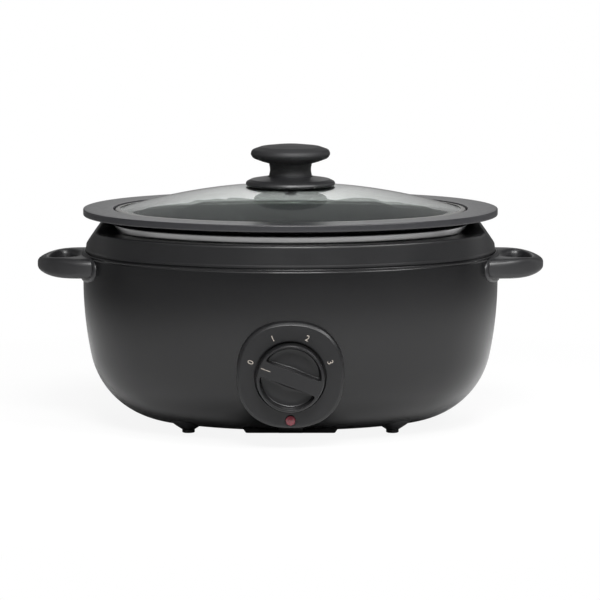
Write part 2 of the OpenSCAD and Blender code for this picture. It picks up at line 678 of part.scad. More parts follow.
module control_knob() color([0.14, 0.14, 0.14]) difference() {
    union() {
        front_rod(0, dial_z, dial_r, dial_back, dial_y - 1.5);
        front_rod(0, dial_z, dial_r - 0.6, dial_back, dial_y - 0.5);
        front_rod(0, dial_z, dial_r - 1.6, dial_back, dial_y);
    }
    front_rod(0, dial_z, dial_r - 7, dial_back - 1, recess_y - knob_wall);
    front_rod(0, dial_z, shaft_r + 0.02, dial_back - 1, recess_y + 4.2);
    // Two finger recesses that leave the grip bar between them
    for (s = [1, -1]) intersection() {
        front_rod(0, dial_z, dial_r - dial_rim, recess_y, dial_y + 1);
        translate([0, -recess_y, dial_z]) rotate([90, bar_deg, 0])
            translate([-dial_r, s > 0 ? bar_w / 2 : -bar_w / 2 - dial_r, 0]) cube([2 * dial_r, dial_r, 40]);
    }
    on_bar_end() cube([mark_len, mark_w, 2]);
}
// The place of the pointer mark, sunk in the grip bar's outer end
module on_bar_end() translate([0, mark_sunk - dial_y, dial_z]) rotate([90, bar_deg, 0])
    translate([-dial_r + dial_rim, -mark_w / 2, 0]) children();
module knob_mark() color([0.85, 0.85, 0.82]) on_bar_end() cube([mark_len, mark_w, mark_sunk]);
module indicator_lens() color([0.6, 0.1, 0.08]) {
    front_rod(0, lamp_z, lens_r, wall_y - 2, panel_front + 0.4);
    front_rod(0, lamp_z, lens_r - 1, panel_front, panel_front + 1.2);
}
module neon_lamp() color([0.9, 0.5, 0.3]) front_rod(0, lamp_z, 2.8, wall_y - 14, wall_y - 2 - ease);

// The handle seen from the front: flat above and below, with a round nose
module handle_profile() {
    low = handle_z - handle_h;
    polygon(concat([[body_oval[0], low]],
                   [for (p = arc(0, 0, 1, -90, 90, 16))
                       [handle_reach - nose_len + nose_len * p[0], handle_mid_z + handle_h / 2 * p[1]]],
                   [[body_oval[0], handle_z]]));
}
module side_handle(side) mirror([side < 0 ? 1 : 0, 0, 0]) difference() {
    intersection() {
        translate([handle_reach - handle_r, 0, handle_z - handle_h - 1])
            cylinder(r = handle_r, h = handle_h + 2);
        translate([0, handle_r + 1, 0]) rotate([90, 0, 0])
            linear_extrude(2 * handle_r + 2) handle_profile();
    }
    slab(body_oval, ease / 2, handle_z - 2 * handle_h, handle_z + handle_h);
    // Finger slot with round ends
    translate([handle_reach - grip_t - slot_w / 2, 0, 0]) {
        for (s = [-1, 1]) translate([0, s * (slot_len - slot_w) / 2, 0])
            cylinder(r = slot_w / 2, h = 2 * handle_z);
        translate([-slot_w / 2, -(slot_len - slot_w) / 2, 0])
            cube([slot_w, slot_len - slot_w, 2 * handle_z]);
    }
    for (d = [-1, 1])
        end_rod(1, d * handle_screw_deg, handle_mid_z, screw_r + 0.05, body_end_r / 2,
                body_end_r + handle_bite + 0.5);
}
module side_handle_left() color([0.13, 0.13, 0.13]) side_handle(-1);
module side_handle_right() color([0.13, 0.13, 0.13]) side_handle(1);
module handle_screws() color([0.7, 0.7, 0.7]) for (s = [-1, 1], d = [-1, 1]) {
    // The heads lie against the shell's inner face
    r = body_end_r + side_u(handle_mid_z + screw_head_r) - shell_wall - 0.15;
    end_rod(s, d * handle_screw_deg, handle_mid_z, screw_r, r, body_end_r + handle_bite);
    end_rod(s, d * handle_screw_deg, handle_mid_z, screw_head_r, r - screw_head_h, r);
}

module cord_gland() color([0.1, 0.1, 0.1]) on_bowl(90, gland_deg) difference() {
    union() {
        cylinder(r = gland_r + 3, h = 3);
        cylinder(r = gland_r + 1, h = 9);
        translate([0, 0, -9]) cylinder(r = gland_r, h = 10);
    }
    translate([0, 0, -12]) cylinder(r = gland_bore_r, h = 30);
}
module gland_nut() color([0.15, 0.15, 0.15]) on_bowl(90, gland_deg) difference() {
    translate([0, 0, -shell_wall - gland_nut_h - 0.9])
        cylinder(r = gland_r + 3, h = gland_nut_h, $fn = 6);
    translate([0, 0, -12]) cylinder(r = gland_r + 0.05, h = 30);
}
module terminal_block() color([0.9, 0.9, 0.88]) translate([block_x, block_y, shell_z]) difference() {
    cube([block_w, block_dep, block_h]);
    for (i = [0:2]) translate([(i + 0.5) * pole_w + 0.5, 0, 0]) {
        translate([0, block_dep / 2, 3]) cylinder(r = 2.2, h = block_h);
        translate([0, -1, block_h / 2 - 1]) rotate([-90, 0, 0]) cylinder(r = 1.8, h = block_dep + 2);
    }
}

module cooking_pot() color([0.16, 0.16, 0.17]) difference() {
    filled(pot_oval, concat(
        arc(wall_u - pot_draft - pot_corner_r, pot_z + pot_corner_r, pot_corner_r, -90, 0, 6),
        [[wall_u, wall_z], [seat_u + pot_wall, seat_z - pot_wall],
         [seat_u + pot_wall + 1, flange_z - flange_t], [-0.8, flange_z - flange_t],
         [0, flange_z - flange_t + 0.8], [0, flange_z - 0.8], [-0.8, flange_z]]));
    filled(pot_oval, concat(
        arc(wall_u - pot_draft - pot_corner_r, pot_z + pot_corner_r, pot_corner_r - pot_wall, -90, 0, 6),
        [[wall_u - pot_wall, seat_z + 1]]));
    slab(pot_oval, seat_u, seat_z, flange_z + 5);
}

// The height of the lid's glass, a distance t in from its edge
function dome(t) = dome_h * (1 - pow(1 - min(t / dome_w, 1), dome_power));
module lid_glass() color([0.8, 0.85, 0.85, 0.4]) difference() {
    filled(pot_oval, concat([[glass_u, glass_z], [glass_u, glass_z + glass_t]],
        [for (i = [0:12]) let (t = dome_w * i / 12) [glass_u - lid_rim_w - t, glass_z + glass_t + dome(t)]]));
    filled(pot_oval, flip(concat([for (i = [12:-1:0]) let (t = dome_w * i / 12)
        [glass_u - lid_rim_w - t, glass_z + dome(t)]], [[glass_u - lid_rim_w + 1, glass_z - 5]])));
    cylinder(r = lid_screw_r + ease, h = 2 * flange_z);
}
module lid_rim() color([0.8, 0.8, 0.8]) around(pot_oval) difference() {
    translate([lid_u - lid_rim_w, seat_z]) square([lid_rim_w, lid_rim_h]);
    translate([lid_u - lid_rim_w - 1, glass_z]) square([lid_rim_w - lid_rim_t + 1, glass_t]);
}
module lid_knob() color([0.13, 0.13, 0.13]) difference() {
    rotate_extrude() polygon(concat(
        [[0, neck_z], [neck_r, neck_z]], [[neck_r, neck_z + 2], [neck_r - 0.8, neck_z + neck_h / 2]],
        [[neck_r, head_z - 1], [head_r - edge_r, head_z + 1]],
        arc(head_r - edge_r, head_z + 1 + edge_r, edge_r, -90, 90, 8), [[0, top_z]]));
    translate([0, 0, neck_z - 1]) cylinder(r = lid_screw_r + 0.02, h = neck_h - 2);
}
module lid_knob_skirt() color([0.13, 0.13, 0.13]) difference() {
    rotate_extrude() polygon([[0, skirt_z], [skirt_r - 3, skirt_z], [skirt_r - 0.5, skirt_z + 0.9],
                              [skirt_r, skirt_z + 1.6], [skirt_r, skirt_z + 3],
                              [skirt_r - 3.7, skirt_z + 5.5], [neck_r + 2.5, neck_z], [0, neck_z]]);
    translate([0, 0, skirt_z - 1]) cylinder(r = lid_screw_r + 0.1, h = skirt_h + 2);
}
// The screw goes up through washer, glass and skirt into the knob
module lid_screw() color([0.75, 0.75, 0.75]) translate([0, 0, skirt_z - glass_t - 1]) {
    translate([0, 0, -3]) cylinder(r = 2 * lid_screw_r, h = 3);
    translate([0, 0, -1]) cylinder(r = lid_screw_r, h = glass_t + skirt_h + neck_h - 2);
}
module lid_washer() color([0.75, 0.75, 0.75]) translate([0, 0, skirt_z - glass_t - 1]) difference() {
    cylinder(r = lid_screw_r + 4.5, h = 1);
    translate([0, 0, -1]) cylinder(r = lid_screw_r + 0.1, h = 3);
}

placed() outer_shell();
placed() top_collar();
placed() collar_screws();
placed() heating_liner();
placed() band_heater();
placed() heater_clamp();
placed() clamp_screw();
placed() insulation();
placed() heat_shield();
placed() thermostat();
placed() thermal_fuse();
placed() fuse_clip();
placed() tie_stud();
placed() stud_spacer();
placed() stud_washer();
placed() stud_nuts();
placed() base_plate();
placed() base_screws();
placed() base_feet();
placed() foot_screws();
placed() rubber_feet();
placed() control_housing();
placed() housing_screws();
placed() rotary_switch();
placed() switch_nut();
placed() switch_shaft();
placed() control_knob();
placed() knob_mark();
placed() indicator_lens();
placed() neon_lamp();
placed() side_handle_left();
placed() side_handle_right();
placed() handle_screws();
placed() cord_gland();
placed() gland_nut();
placed() terminal_block();
placed() cooking_pot();
placed() lid_glass();
placed() lid_rim();
placed() lid_knob();
placed() lid_knob_skirt();
placed() lid_screw();
placed() lid_washer();
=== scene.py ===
"""Looks of the oval slow cooker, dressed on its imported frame. Metres, Z up, the front faces -Y."""
import json
import math

import bpy
import numpy as np
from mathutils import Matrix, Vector


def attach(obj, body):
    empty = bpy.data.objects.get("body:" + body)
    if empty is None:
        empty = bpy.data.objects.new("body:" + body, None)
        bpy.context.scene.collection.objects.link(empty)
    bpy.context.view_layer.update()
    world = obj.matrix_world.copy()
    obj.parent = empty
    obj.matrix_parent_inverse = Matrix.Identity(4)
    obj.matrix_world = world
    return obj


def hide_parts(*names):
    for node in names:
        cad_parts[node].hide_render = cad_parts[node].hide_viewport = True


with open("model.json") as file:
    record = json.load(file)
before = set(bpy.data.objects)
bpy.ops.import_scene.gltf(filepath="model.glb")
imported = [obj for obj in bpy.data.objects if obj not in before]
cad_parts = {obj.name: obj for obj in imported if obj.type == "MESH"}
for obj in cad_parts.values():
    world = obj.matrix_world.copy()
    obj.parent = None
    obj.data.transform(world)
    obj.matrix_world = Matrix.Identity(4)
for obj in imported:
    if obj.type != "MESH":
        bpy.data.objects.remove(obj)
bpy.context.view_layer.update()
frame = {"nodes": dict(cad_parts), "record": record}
nodes = frame["nodes"]

# Sizes in millimetres, the same as those the solids are built from. Plan positions are worked out
# from the body's own axis, which stands AXIS_Y behind the origin.
MM = 0.001
AXIS_Y = 6.0

# Ovals of four arcs, as (k, radius of the end arcs). The arcs join where the cosine of their
# normal's angle is ARC_SPLIT. u is a distance outward from the oval.
ARC_SPLIT = 0.6
JOINT = math.acos(ARC_SPLIT)
BODY = (20.75, 115.75)
POT = (18.1, 123.4)
BODY_HALF_LENGTH = 3 * BODY[0] + BODY[1]
BODY_SIDE_CENTRE = 4 * BODY[0]
BODY_SIDE_R = 5 * BODY[0] + BODY[1]

# Shell: a side circle of SIDE_R, widest at WAIST_Z, and from TURN below that the bowl's circle
WAIST_Z, SIDE_R, TURN = 125.0, 320.0, math.radians(11.5)
SHELL_Z, SEAM_Z, COLLAR_Z = 4.5, 150.0, 169.0
BOWL_TOP_Z = WAIST_Z - SIDE_R * math.sin(TURN)
BOWL_R = (BOWL_TOP_Z - SHELL_Z) / (1 - math.sin(TURN))
BOWL_U = -SIDE_R * (1 - math.cos(TURN)) - BOWL_R * math.cos(TURN)
BOWL_Z = SHELL_Z + BOWL_R
TOP_U = math.sqrt(SIDE_R ** 2 - (SEAM_Z - WAIST_Z) ** 2) - SIDE_R
COLLAR_U = TOP_U - 1.2

# The collar's raised pads start at PAD_X, and their crown is a circle of PAD_R with its top at
# PAD_Z. Its sloped ends lean in by END_LEAN degrees from upright.
PAD_X, PAD_Z, PAD_R, END_LEAN = 76.0, 177.3, 150.6, 37.0

# Fronts of the panel and the dial, the dial's middle, the tilt of its grip bar, the lens, and the
# figures' distance from the dial's middle and their height
FACE_Y, DIAL_Y, DIAL_Z = -141.5, -153.5, 61.7
BAR_TURN = math.radians(-20.5)
LENS_Z, LENS_R = 25.45, 4.1
FIGURE_R, FIGURE_SIZE = 34.8, 7.0

# Height, thickness and reach of the handles, and the radius of their plan
HANDLE_Z, HANDLE_H, HANDLE_REACH, HANDLE_R = 139.25, 17.5, 217.2, 50.0

# The axes of the four feet
FEET = [(sx * 86.72, sy * 49.52) for sx in (-1, 1) for sy in (-1, 1)]


def lin(code):
    """An sRGB hex colour as linear RGBA."""
    c = np.array([int(code[i:i + 2], 16) for i in (1, 3, 5)]) / 255
    return (*np.where(c <= 0.04045, c / 12.92, ((c + 0.055) / 1.055) ** 2.4).tolist(), 1.0)


def add(tree, kind, inputs=None, **settings):
    """Adds a node. inputs maps its sockets to values or to the sockets that feed them."""
    node = tree.nodes.new(kind)
    for key, value in settings.items():
        setattr(node, key, value)
    for key, value in (inputs or {}).items():
        if isinstance(value, bpy.types.NodeSocket):
            tree.links.new(value, node.inputs[key])
        else:
            node.inputs[key].default_value = value
    return node


def linked(name, data):
    """A new object of the scene, at the origin."""
    obj = bpy.data.objects.new(name, data)
    bpy.context.scene.collection.objects.link(obj)
    return obj


# Shapes

def oval(shape, u, phi):
    """A four-arc oval moved outward by u, by the angle phi of its outward normal: the arc's centre
    plus its radius along the normal. Ends turn about (+-3k, 0) and sides about (0, -+4k)."""
    k, end_r = shape
    c, s = np.cos(phi), np.sin(phi)
    end = np.abs(c) > ARC_SPLIT
    r = np.where(end, end_r, end_r + 5 * k) + u
    x = np.where(end, np.sign(c) * 3 * k, 0) + r * c
    y = np.where(end, 0, -np.sign(s) * 4 * k) + r * s
    return x, y


def outward(x, y):
    """How far a plan point lies outside the body's oval: its distance from the arc's centre less
    the radius. The arcs part along the line from the end's centre that falls 4 for each 3."""
    k, end_r = BODY
    ax, ay = np.abs(x), np.abs(y)
    end = np.hypot(ax - 3 * k, ay) - end_r
    side = np.hypot(ax, ay + BODY_SIDE_CENTRE) - BODY_SIDE_R
    return np.where(4 * (ax - 3 * k) > 3 * ay, end, side)


def full_turn(count):
    """Angles once round, in equal steps."""
    return np.arange(count) * 2 * math.pi / count


def signed_power(v, power):
    """A value raised to a power with its sign kept: with cosine and sine, a superellipse."""
    return np.sign(v) * np.abs(v) ** power


def turns(ends, sides):
    """Normal angles once round an oval: even steps in each end arc and each side arc."""
    half = np.r_[np.linspace(-JOINT, JOINT, ends, endpoint=False),
                 np.linspace(JOINT, math.pi - JOINT, sides, endpoint=False)]
    return np.r_[half, half + math.pi]


def xyz(x, y, z):
    """Broadcasts three coordinates into one array of points."""
    return np.stack(np.broadcast_arrays(x, y, z), -1).astype(float)


def fillets(corners, loop=False, steps=6):
    """A profile through (a, b, radius) corners. Each corner becomes a parabola between the two
    points that lie radius / tan(half the corner) along its sides, so it stays tangent to both."""
    p = np.array([c[:2] for c in corners], float)
    n = len(p)
    out = []
    for i, corner in enumerate(corners):
        if corner[2] <= 0 or (not loop and i in (0, n - 1)):
            out.append(p[i][None])
            continue
        a, b = p[i - 1] - p[i], p[(i + 1) % n] - p[i]
        la, lb = np.hypot(*a), np.hypot(*b)
        a, b = a / la, b / lb
        half = math.acos(max(-1.0, min(1.0, float(a @ b)))) / 2
        reach = min(corner[2] / math.tan(half), 0.48 * la, 0.48 * lb)
        first, last = p[i] + a * reach, p[i] + b * reach
        t = np.linspace(0, 1, steps + 1)[:, None]
        out.append((1 - t) ** 2 * first + 2 * t * (1 - t) * p[i] + t ** 2 * last)
    return np.vstack(out)


def finer(profile, gap, loop=False):
    """The same profile with every side divided so that no step is longer than gap."""
    ends = np.vstack([profile, profile[:1]]) if loop else profile
    out = [ends[:1]]
    for a, b in zip(ends[:-1], ends[1:]):
        n = max(1, math.ceil(np.hypot(*(b - a)) / gap))
        out.append(a + (b - a) * np.arange(1, n + 1)[:, None] / n)
    out = np.vstack(out)
    return out[:-1] if loop else out


def sweep(shape, profile, phi):
    """Carries a profile of (u, z) round an oval: one ring for each of its points."""
    x, y = oval(shape, profile[:, :1], phi[None])
    return xyz(x, y, profile[:, 1:])


def revolve(profile, count=128):
    """Carries a profile of (radius, z) once round the Z axis: one ring for each of its points."""
    t = full_turn(count)
    return xyz(profile[:, :1] * np.cos(t), profile[:, :1] * np.sin(t), profile[:, 1:])


def inward(ring, centre, steps):
    """Rings that shrink from a given one, in equal steps, to a point."""
    s = np.linspace(1, 0, steps + 1)[1:, None, None]
    return np.asarray(centre, float) + (ring - centre) * s


def capped(rings, poles, steps):
    """Closes a run of rings at both ends: each end shrinks to its pole, in its number of steps."""
    return np.vstack([inward(rings[0], poles[0], steps[0])[::-1], rings,
                      inward(rings[-1], poles[1], steps[1])])


def heel(u, z, radius):
    """The corner between a pan's underside and its wall: a quarter circle about (u, z), upward."""
    t = np.linspace(-math.pi / 2, 0, 9)
    return np.c_[u + radius * np.cos(t), z + radius * np.sin(t)]


def facing_front(points, y, z):
    """Turns points made about +Z to look to the front: their Z is how far they stand out from the
    plane y, and their Y is their height over z."""
    return xyz(points[..., 0], y - points[..., 2], points[..., 1] + z)


def piece(name, body, material, surfaces, replaces=(), sharp=38, loop=False):
    """Makes one object from surfaces, each an array of closed rings: quads join neighbouring rings,
    a ring shrunk to a point becomes one vertex, and loop joins the last ring to the first. Each
    closed surface is turned so that the volume it holds, summed from its faces, is positive. Edges
    that turn by more than sharp, in degrees, stay sharp."""
    verts, faces, start = [], [], 0
    for rings in surfaces:
        m, n = rings.shape[:2]
        index = np.arange(m * n).reshape(m, n)
        for i in (0, m - 1):
            if np.ptp(rings[i], axis=0).max() < 1e-6:
                index[i] = index[i, 0]
        a = np.arange(m if loop else m - 1)
        b, right = (a + 1) % m, (np.arange(n) + 1) % n
        quads = np.stack([index[a], index[a][:, right], index[b][:, right], index[b]], -1)
        quads = quads.reshape(-1, 4)
        flat = rings.reshape(-1, 3)
        p = flat[quads]
        volume = np.einsum("ij,ij->", p[:, 0], np.cross(p[:, 1], p[:, 2]))
        volume += np.einsum("ij,ij->", p[:, 0], np.cross(p[:, 2], p[:, 3]))
        if volume < 0:
            quads = quads[:, ::-1]
        used, packed = np.unique(quads, return_inverse=True)
        quads = packed.reshape(-1, 4) + start
        verts.append(flat[used])
        start += len(used)
        lower = quads[:, 0] == quads[:, 1]
        upper = quads[:, 2] == quads[:, 3]
        left = quads[:, 1] == quads[:, 2]
        last = quads[:, 3] == quads[:, 0]
        faces += quads[~(lower | upper | left | last)].tolist()
        for mask, keep in ((lower, (1, 2, 3)), (upper, (0, 1, 2)), (left, (0, 1, 3)),
                           (last, (0, 1, 2))):
            faces += quads[mask][:, keep].tolist()
    points = (np.vstack(verts) + [0, AXIS_Y, 0]) * MM
    mesh = bpy.data.meshes.new(name)
    mesh.from_pydata(points.tolist(), [], faces)
    mesh.validate()
    mesh.shade_smooth()
    mesh.set_sharp_from_angle(angle=math.radians(sharp))
    mesh.materials.append(material)
    obj = linked(name, mesh)
    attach(obj, body)
    if replaces:
        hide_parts(*replaces)


def soft_max(a, b, k):
    """The greater of two surfaces, blended over about k where they cross."""
    return (a + b + np.hypot(a - b, k)) / 2


def soft_min(a, b, k):
    """The lesser of two surfaces, blended over about k where they cross."""
    return (a + b - np.hypot(a - b, k)) / 2


def shell_z(x, y):
    """Height of the shell's bottom over a plan point: the bowl's circle at its distance outward."""
    d = np.clip(outward(x, y) - BOWL_U, 0, BOWL_R)
    return BOWL_Z - np.sqrt(BOWL_R ** 2 - d ** 2)


def shell_u(z):
    """How far the shell's side stands out at a height, on its circle of the side radius."""
    return np.sqrt(SIDE_R ** 2 - (z - WAIST_Z) ** 2) - SIDE_R


# Materials

def blank(name):
    """A new material: itself, its tree, its Principled shader and the Object coordinates."""
    material = bpy.data.materials.new(name)
    material.use_nodes = True
    tree = material.node_tree
    place = add(tree, "ShaderNodeTexCoord").outputs["Object"]
    return material, tree, tree.nodes["Principled BSDF"], place


def surface(name, low, high, blotch, rough, grain, height, **sockets):
    """A material whose colour drifts between two hexes over blotches of a size in mm, whose
    roughness drifts between two values with it, and whose grain, of a size and height in mm, is a
    bump."""
    material, tree, shader, place = blank(name)
    cloud = add(tree, "ShaderNodeTexNoise",
                {"Vector": place, "Scale": 1 / (blotch * MM), "Detail": 4.0})
    mix = add(tree, "ShaderNodeMix",
              {"Factor": cloud.outputs["Fac"], "A": lin(low), "B": lin(high)}, data_type="RGBA")
    tree.links.new(mix.outputs["Result"], shader.inputs["Base Color"])
    gloss = add(tree, "ShaderNodeMapRange",
                {"Value": cloud.outputs["Fac"], "From Min": 0.3, "From Max": 0.7,
                 "To Min": rough[0], "To Max": rough[1]})
    tree.links.new(gloss.outputs["Result"], shader.inputs["Roughness"])
    bumps = add(tree, "ShaderNodeTexNoise",
                {"Vector": place, "Scale": 1 / (grain * MM), "Detail": 2.0})
    bump = add(tree, "ShaderNodeBump", {"Height": bumps.outputs["Fac"], "Distance": height * MM,
                                        "Strength": 1.0})
    tree.links.new(bump.outputs["Normal"], shader.inputs["Normal"])
    for socket, value in sockets.items():
        shader.inputs[socket.replace("_", " ")].default_value = value
    return material


# Sparked, etched, moulded and coated grains are really 0.05 to 0.3 mm across. They are drawn 0.6 to
# 1.5 mm across, about the least that shows.

# Stoving enamel on sheet steel: satin charcoal black, with the faint orange peel of a sprayed coat
enamel = surface("stoving_enamel", "#0b0b0c", "#0e0e0f", 60, (0.21, 0.25), 2.5, 0.004,
                 Specular_IOR_Level=0.37)
# Spark-eroded phenolic of the collar: a touch paler and flatter, with a fine sandy tooth
phenolic = surface("sparked_phenolic", "#161617", "#19191a", 40, (0.31, 0.36), 0.9, 0.006,
                   Specular_IOR_Level=0.36)
# Moulded nylon of the handles, feet and knob's skirt: satin black, with slight mould shading
nylon = surface("satin_nylon", "#18181a", "#1b1b1c", 30, (0.40, 0.47), 1.4, 0.006)
# Compression-moulded phenolic of the lid's knob: matt, so its crown stays dark against the light
matt_knob = surface("matt_phenolic", "#18181a", "#1b1b1c", 30, (0.56, 0.64), 1.2, 0.008,
                    Specular_IOR_Level=0.4)
# Moulded ABS of the panel: black, satin, finely etched
abs_panel = surface("etched_abs", "#121213", "#151516", 30, (0.34, 0.42), 0.8, 0.008,
                    Specular_IOR_Level=0.33)
# The same ABS on the chin, where it only faces the table: rougher, and its colour darkened to dead
# black as painted shade
abs_matt_shaded = surface("matt_shaded_abs", "#060606", "#080808", 20, (0.6, 0.7), 0.8, 0.012,
                         Specular_IOR_Level=0.15)
# ABS of the dial: as the panel, a little smoother where fingers turn it
abs_dial = surface("satin_abs", "#141415", "#171718", 25, (0.28, 0.36), 1.0, 0.006,
                   Specular_IOR_Level=0.33)
# Fluoropolymer coating on die-cast aluminium: dark grey, satin, with a fine pebble
coating = surface("fluoropolymer_coating", "#1f1f21", "#27272a", 3.0, (0.29, 0.35), 0.8, 0.008)
# Spun aluminium of the heating liner: bright and satin, from the spinning tool and a light polish
spun = surface("spun_aluminium", "#f0f0f0", "#f5f5f5", 30, (0.30, 0.36), 1.2, 0.003, Metallic=0.9)
# Stainless strip rolled round the lid's glass, mill-polished: an even, greyish satin shine
stainless = surface("polished_stainless", "#9c9b99", "#a6a5a3", 25, (0.34, 0.40), 1.0, 0.002,
                    Metallic=1.0)
# Rubber of the tips and the cord gland: dead black and matt
rubber = surface("moulded_rubber", "#0f0f0f", "#141414", 12, (0.62, 0.72), 0.7, 0.015)
# Polycarbonate lens over a neon lamp that is off: deep red, clear enough to show a lighter core
lens_red = surface("red_polycarbonate", "#5c1f29", "#6e2a33", 5, (0.16, 0.22), 1.5, 0.004)
# Pad-printed ink of the pointer and the figures: a warm pale grey, slightly uneven
ink = surface("printing_ink", "#8d867e", "#979088", 2.0, (0.45, 0.55), 0.6, 0.004)
# Galvanised steel of the base plate and heat shield: grey spangle
galvanised = surface("galvanised_steel", "#84888b", "#9aa0a3", 9, (0.38, 0.52), 1.5, 0.004,
                     Metallic=1.0)
# Bright zinc plate on screws, nuts and small pressings: pale and even, with a soft shine
zinc = surface("bright_zinc", "#a9abac", "#b8babb", 4, (0.28, 0.38), 0.8, 0.004, Metallic=1.0)
# Braided mica sleeve of the band heater: tan, dry and coarse
mica = surface("mica_sleeve", "#8d8068", "#a3977d", 4, (0.7, 0.85), 1.2, 0.06)
# Glass wool blanket: pale yellow and fibrous
wool = surface("glass_wool", "#c9bf96", "#dcd3ae", 6, (0.85, 0.95), 1.6, 0.4)
# Cream polyamide of the switch and the inner mouldings: smooth, with a dull shine
cream = surface("cream_polyamide", "#b9b09a", "#c4bba6", 8, (0.45, 0.55), 1.0, 0.01)
# Steatite of the terminal block and fuse: white, unglazed
steatite = surface("steatite", "#dcd8d0", "#e6e2da", 5, (0.5, 0.62), 0.8, 0.01)
# Blown bulb of the neon lamp: clear, with the orange cast of its electrodes
bulb = surface("neon_bulb", "#c98f7a", "#d39c87", 3, (0.05, 0.1), 2.0, 0.002, Alpha=0.5)


def tempered_glass():
    """Tempered soda-lime glass: clear with the faint green of its iron, and a slow waviness from
    the press, 45 mm wide and 0.03 mm deep. Shadow rays pass through, so that what lies under the
    lid is lit."""
    material, tree, shader, place = blank("tempered_glass")
    wave = add(tree, "ShaderNodeTexNoise", {"Vector": place, "Scale": 1 / (45 * MM), "Detail": 1.0})
    bump = add(tree, "ShaderNodeBump", {"Height": wave.outputs["Fac"], "Distance": 0.03 * MM})
    tint = add(tree, "ShaderNodeMix", {"Factor": wave.outputs["Fac"], "A": lin("#eef3f0"),
                                       "B": lin("#f3f6f4")}, data_type="RGBA")
    tree.links.new(bump.outputs["Normal"], shader.inputs["Normal"])
    tree.links.new(tint.outputs["Result"], shader.inputs["Base Color"])
    shader.inputs["Roughness"].default_value = 0.02
    shader.inputs["IOR"].default_value = 1.5
    shader.inputs["Transmission Weight"].default_value = 1.0
    clear = add(tree, "ShaderNodeBsdfTransparent", {"Color": lin("#e4ebe7")})
    rays = add(tree, "ShaderNodeLightPath")
    mix = add(tree, "ShaderNodeMixShader", {0: rays.outputs["Is Shadow Ray"],
                                            1: shader.outputs["BSDF"], 2: clear.outputs["BSDF"]})
    tree.links.new(mix.outputs["Shader"], tree.nodes["Material Output"].inputs["Surface"])
    return material


glass = tempered_glass()

# The record's material slots, for the solids that show as they are
BY_SLOT = {
    "shell_enamel": enamel, "collar_plastic": phenolic, "liner_aluminium": spun,
    "heater_sleeve": mica, "glass_wool": wool, "galvanised_steel": galvanised,
    "zinc_screws": zinc, "inner_plastic": cream, "white_ceramic": steatite,
    "foot_plastic": nylon, "foot_rubber": rubber, "panel_plastic": abs_panel,
    "red_lens": lens_red, "lamp_glass": bulb, "handle_plastic": nylon,
    "dial_plastic": abs_dial, "mark_ink": ink, "nonstick_aluminium": coating,
    "lid_glass": glass, "polished_steel": stainless}
for part in frame["record"]["subparts"]:
    materials = nodes[part["node"]].data.materials
    materials.clear()
    materials.append(BY_SLOT[part["material_slot"]])

# Shell: its side and bowl arcs, a lip turned in below, and a rolled bead over a groove at the seam
PHI = turns(96, 128)


def shell_profile():
    """Outer curve from the bead down to the lip, then the inner face back up: (u, z) once round.
    The flange at the seam is 8 mm wide and the lip under the bowl 10 mm."""
    wall = 1.2
    flange_u, lip_u = TOP_U - 8, BOWL_U - 10
    bead = fillets([(flange_u, SEAM_Z, 0), (TOP_U + 0.5, SEAM_Z, 0.8),
                    (TOP_U + 0.5, SEAM_Z - 1.7, 0.6), (TOP_U - 0.2, SEAM_Z - 2.2, 0.3),
                    (float(shell_u(SEAM_Z - 3)), SEAM_Z - 3, 0)])
    side_z = np.linspace(SEAM_Z - 3.5, BOWL_TOP_Z, 24)
    side = np.c_[shell_u(side_z), side_z]
    t = np.linspace(TURN, math.pi / 2, 40)[1:]
    bowl, inner_bowl = (np.c_[BOWL_U + r * np.cos(t), BOWL_Z - r * np.sin(t)]
                        for r in (BOWL_R, BOWL_R - wall))
    lip = fillets([(BOWL_U - 2, SHELL_Z, 0), (lip_u, SHELL_Z, 0.4), (lip_u, SHELL_Z + wall, 0.4),
                   (BOWL_U - 2, SHELL_Z + wall, 0)])
    top = [(TOP_U - wall, SEAM_Z - 2.6), (TOP_U - wall - 1, SEAM_Z - wall),
           (flange_u, SEAM_Z - wall)]
    return np.vstack([bead, side, bowl, lip, inner_bowl[-2::-1], (side - [wall, 0])[::-1], top])


piece("shell", "base", enamel, [sweep(BODY, shell_profile(), PHI)],
      ["outer_shell"], loop=True)


# Collar
def pad_crown(x, y, elsewhere):
    """Height of the pads' barrel crown, a circle across the width, and a given height elsewhere."""
    crown = np.sqrt(np.maximum(PAD_R ** 2 - y ** 2, 0)) - PAD_R + PAD_Z
    return np.where(np.abs(x) > PAD_X, crown, elsewhere)


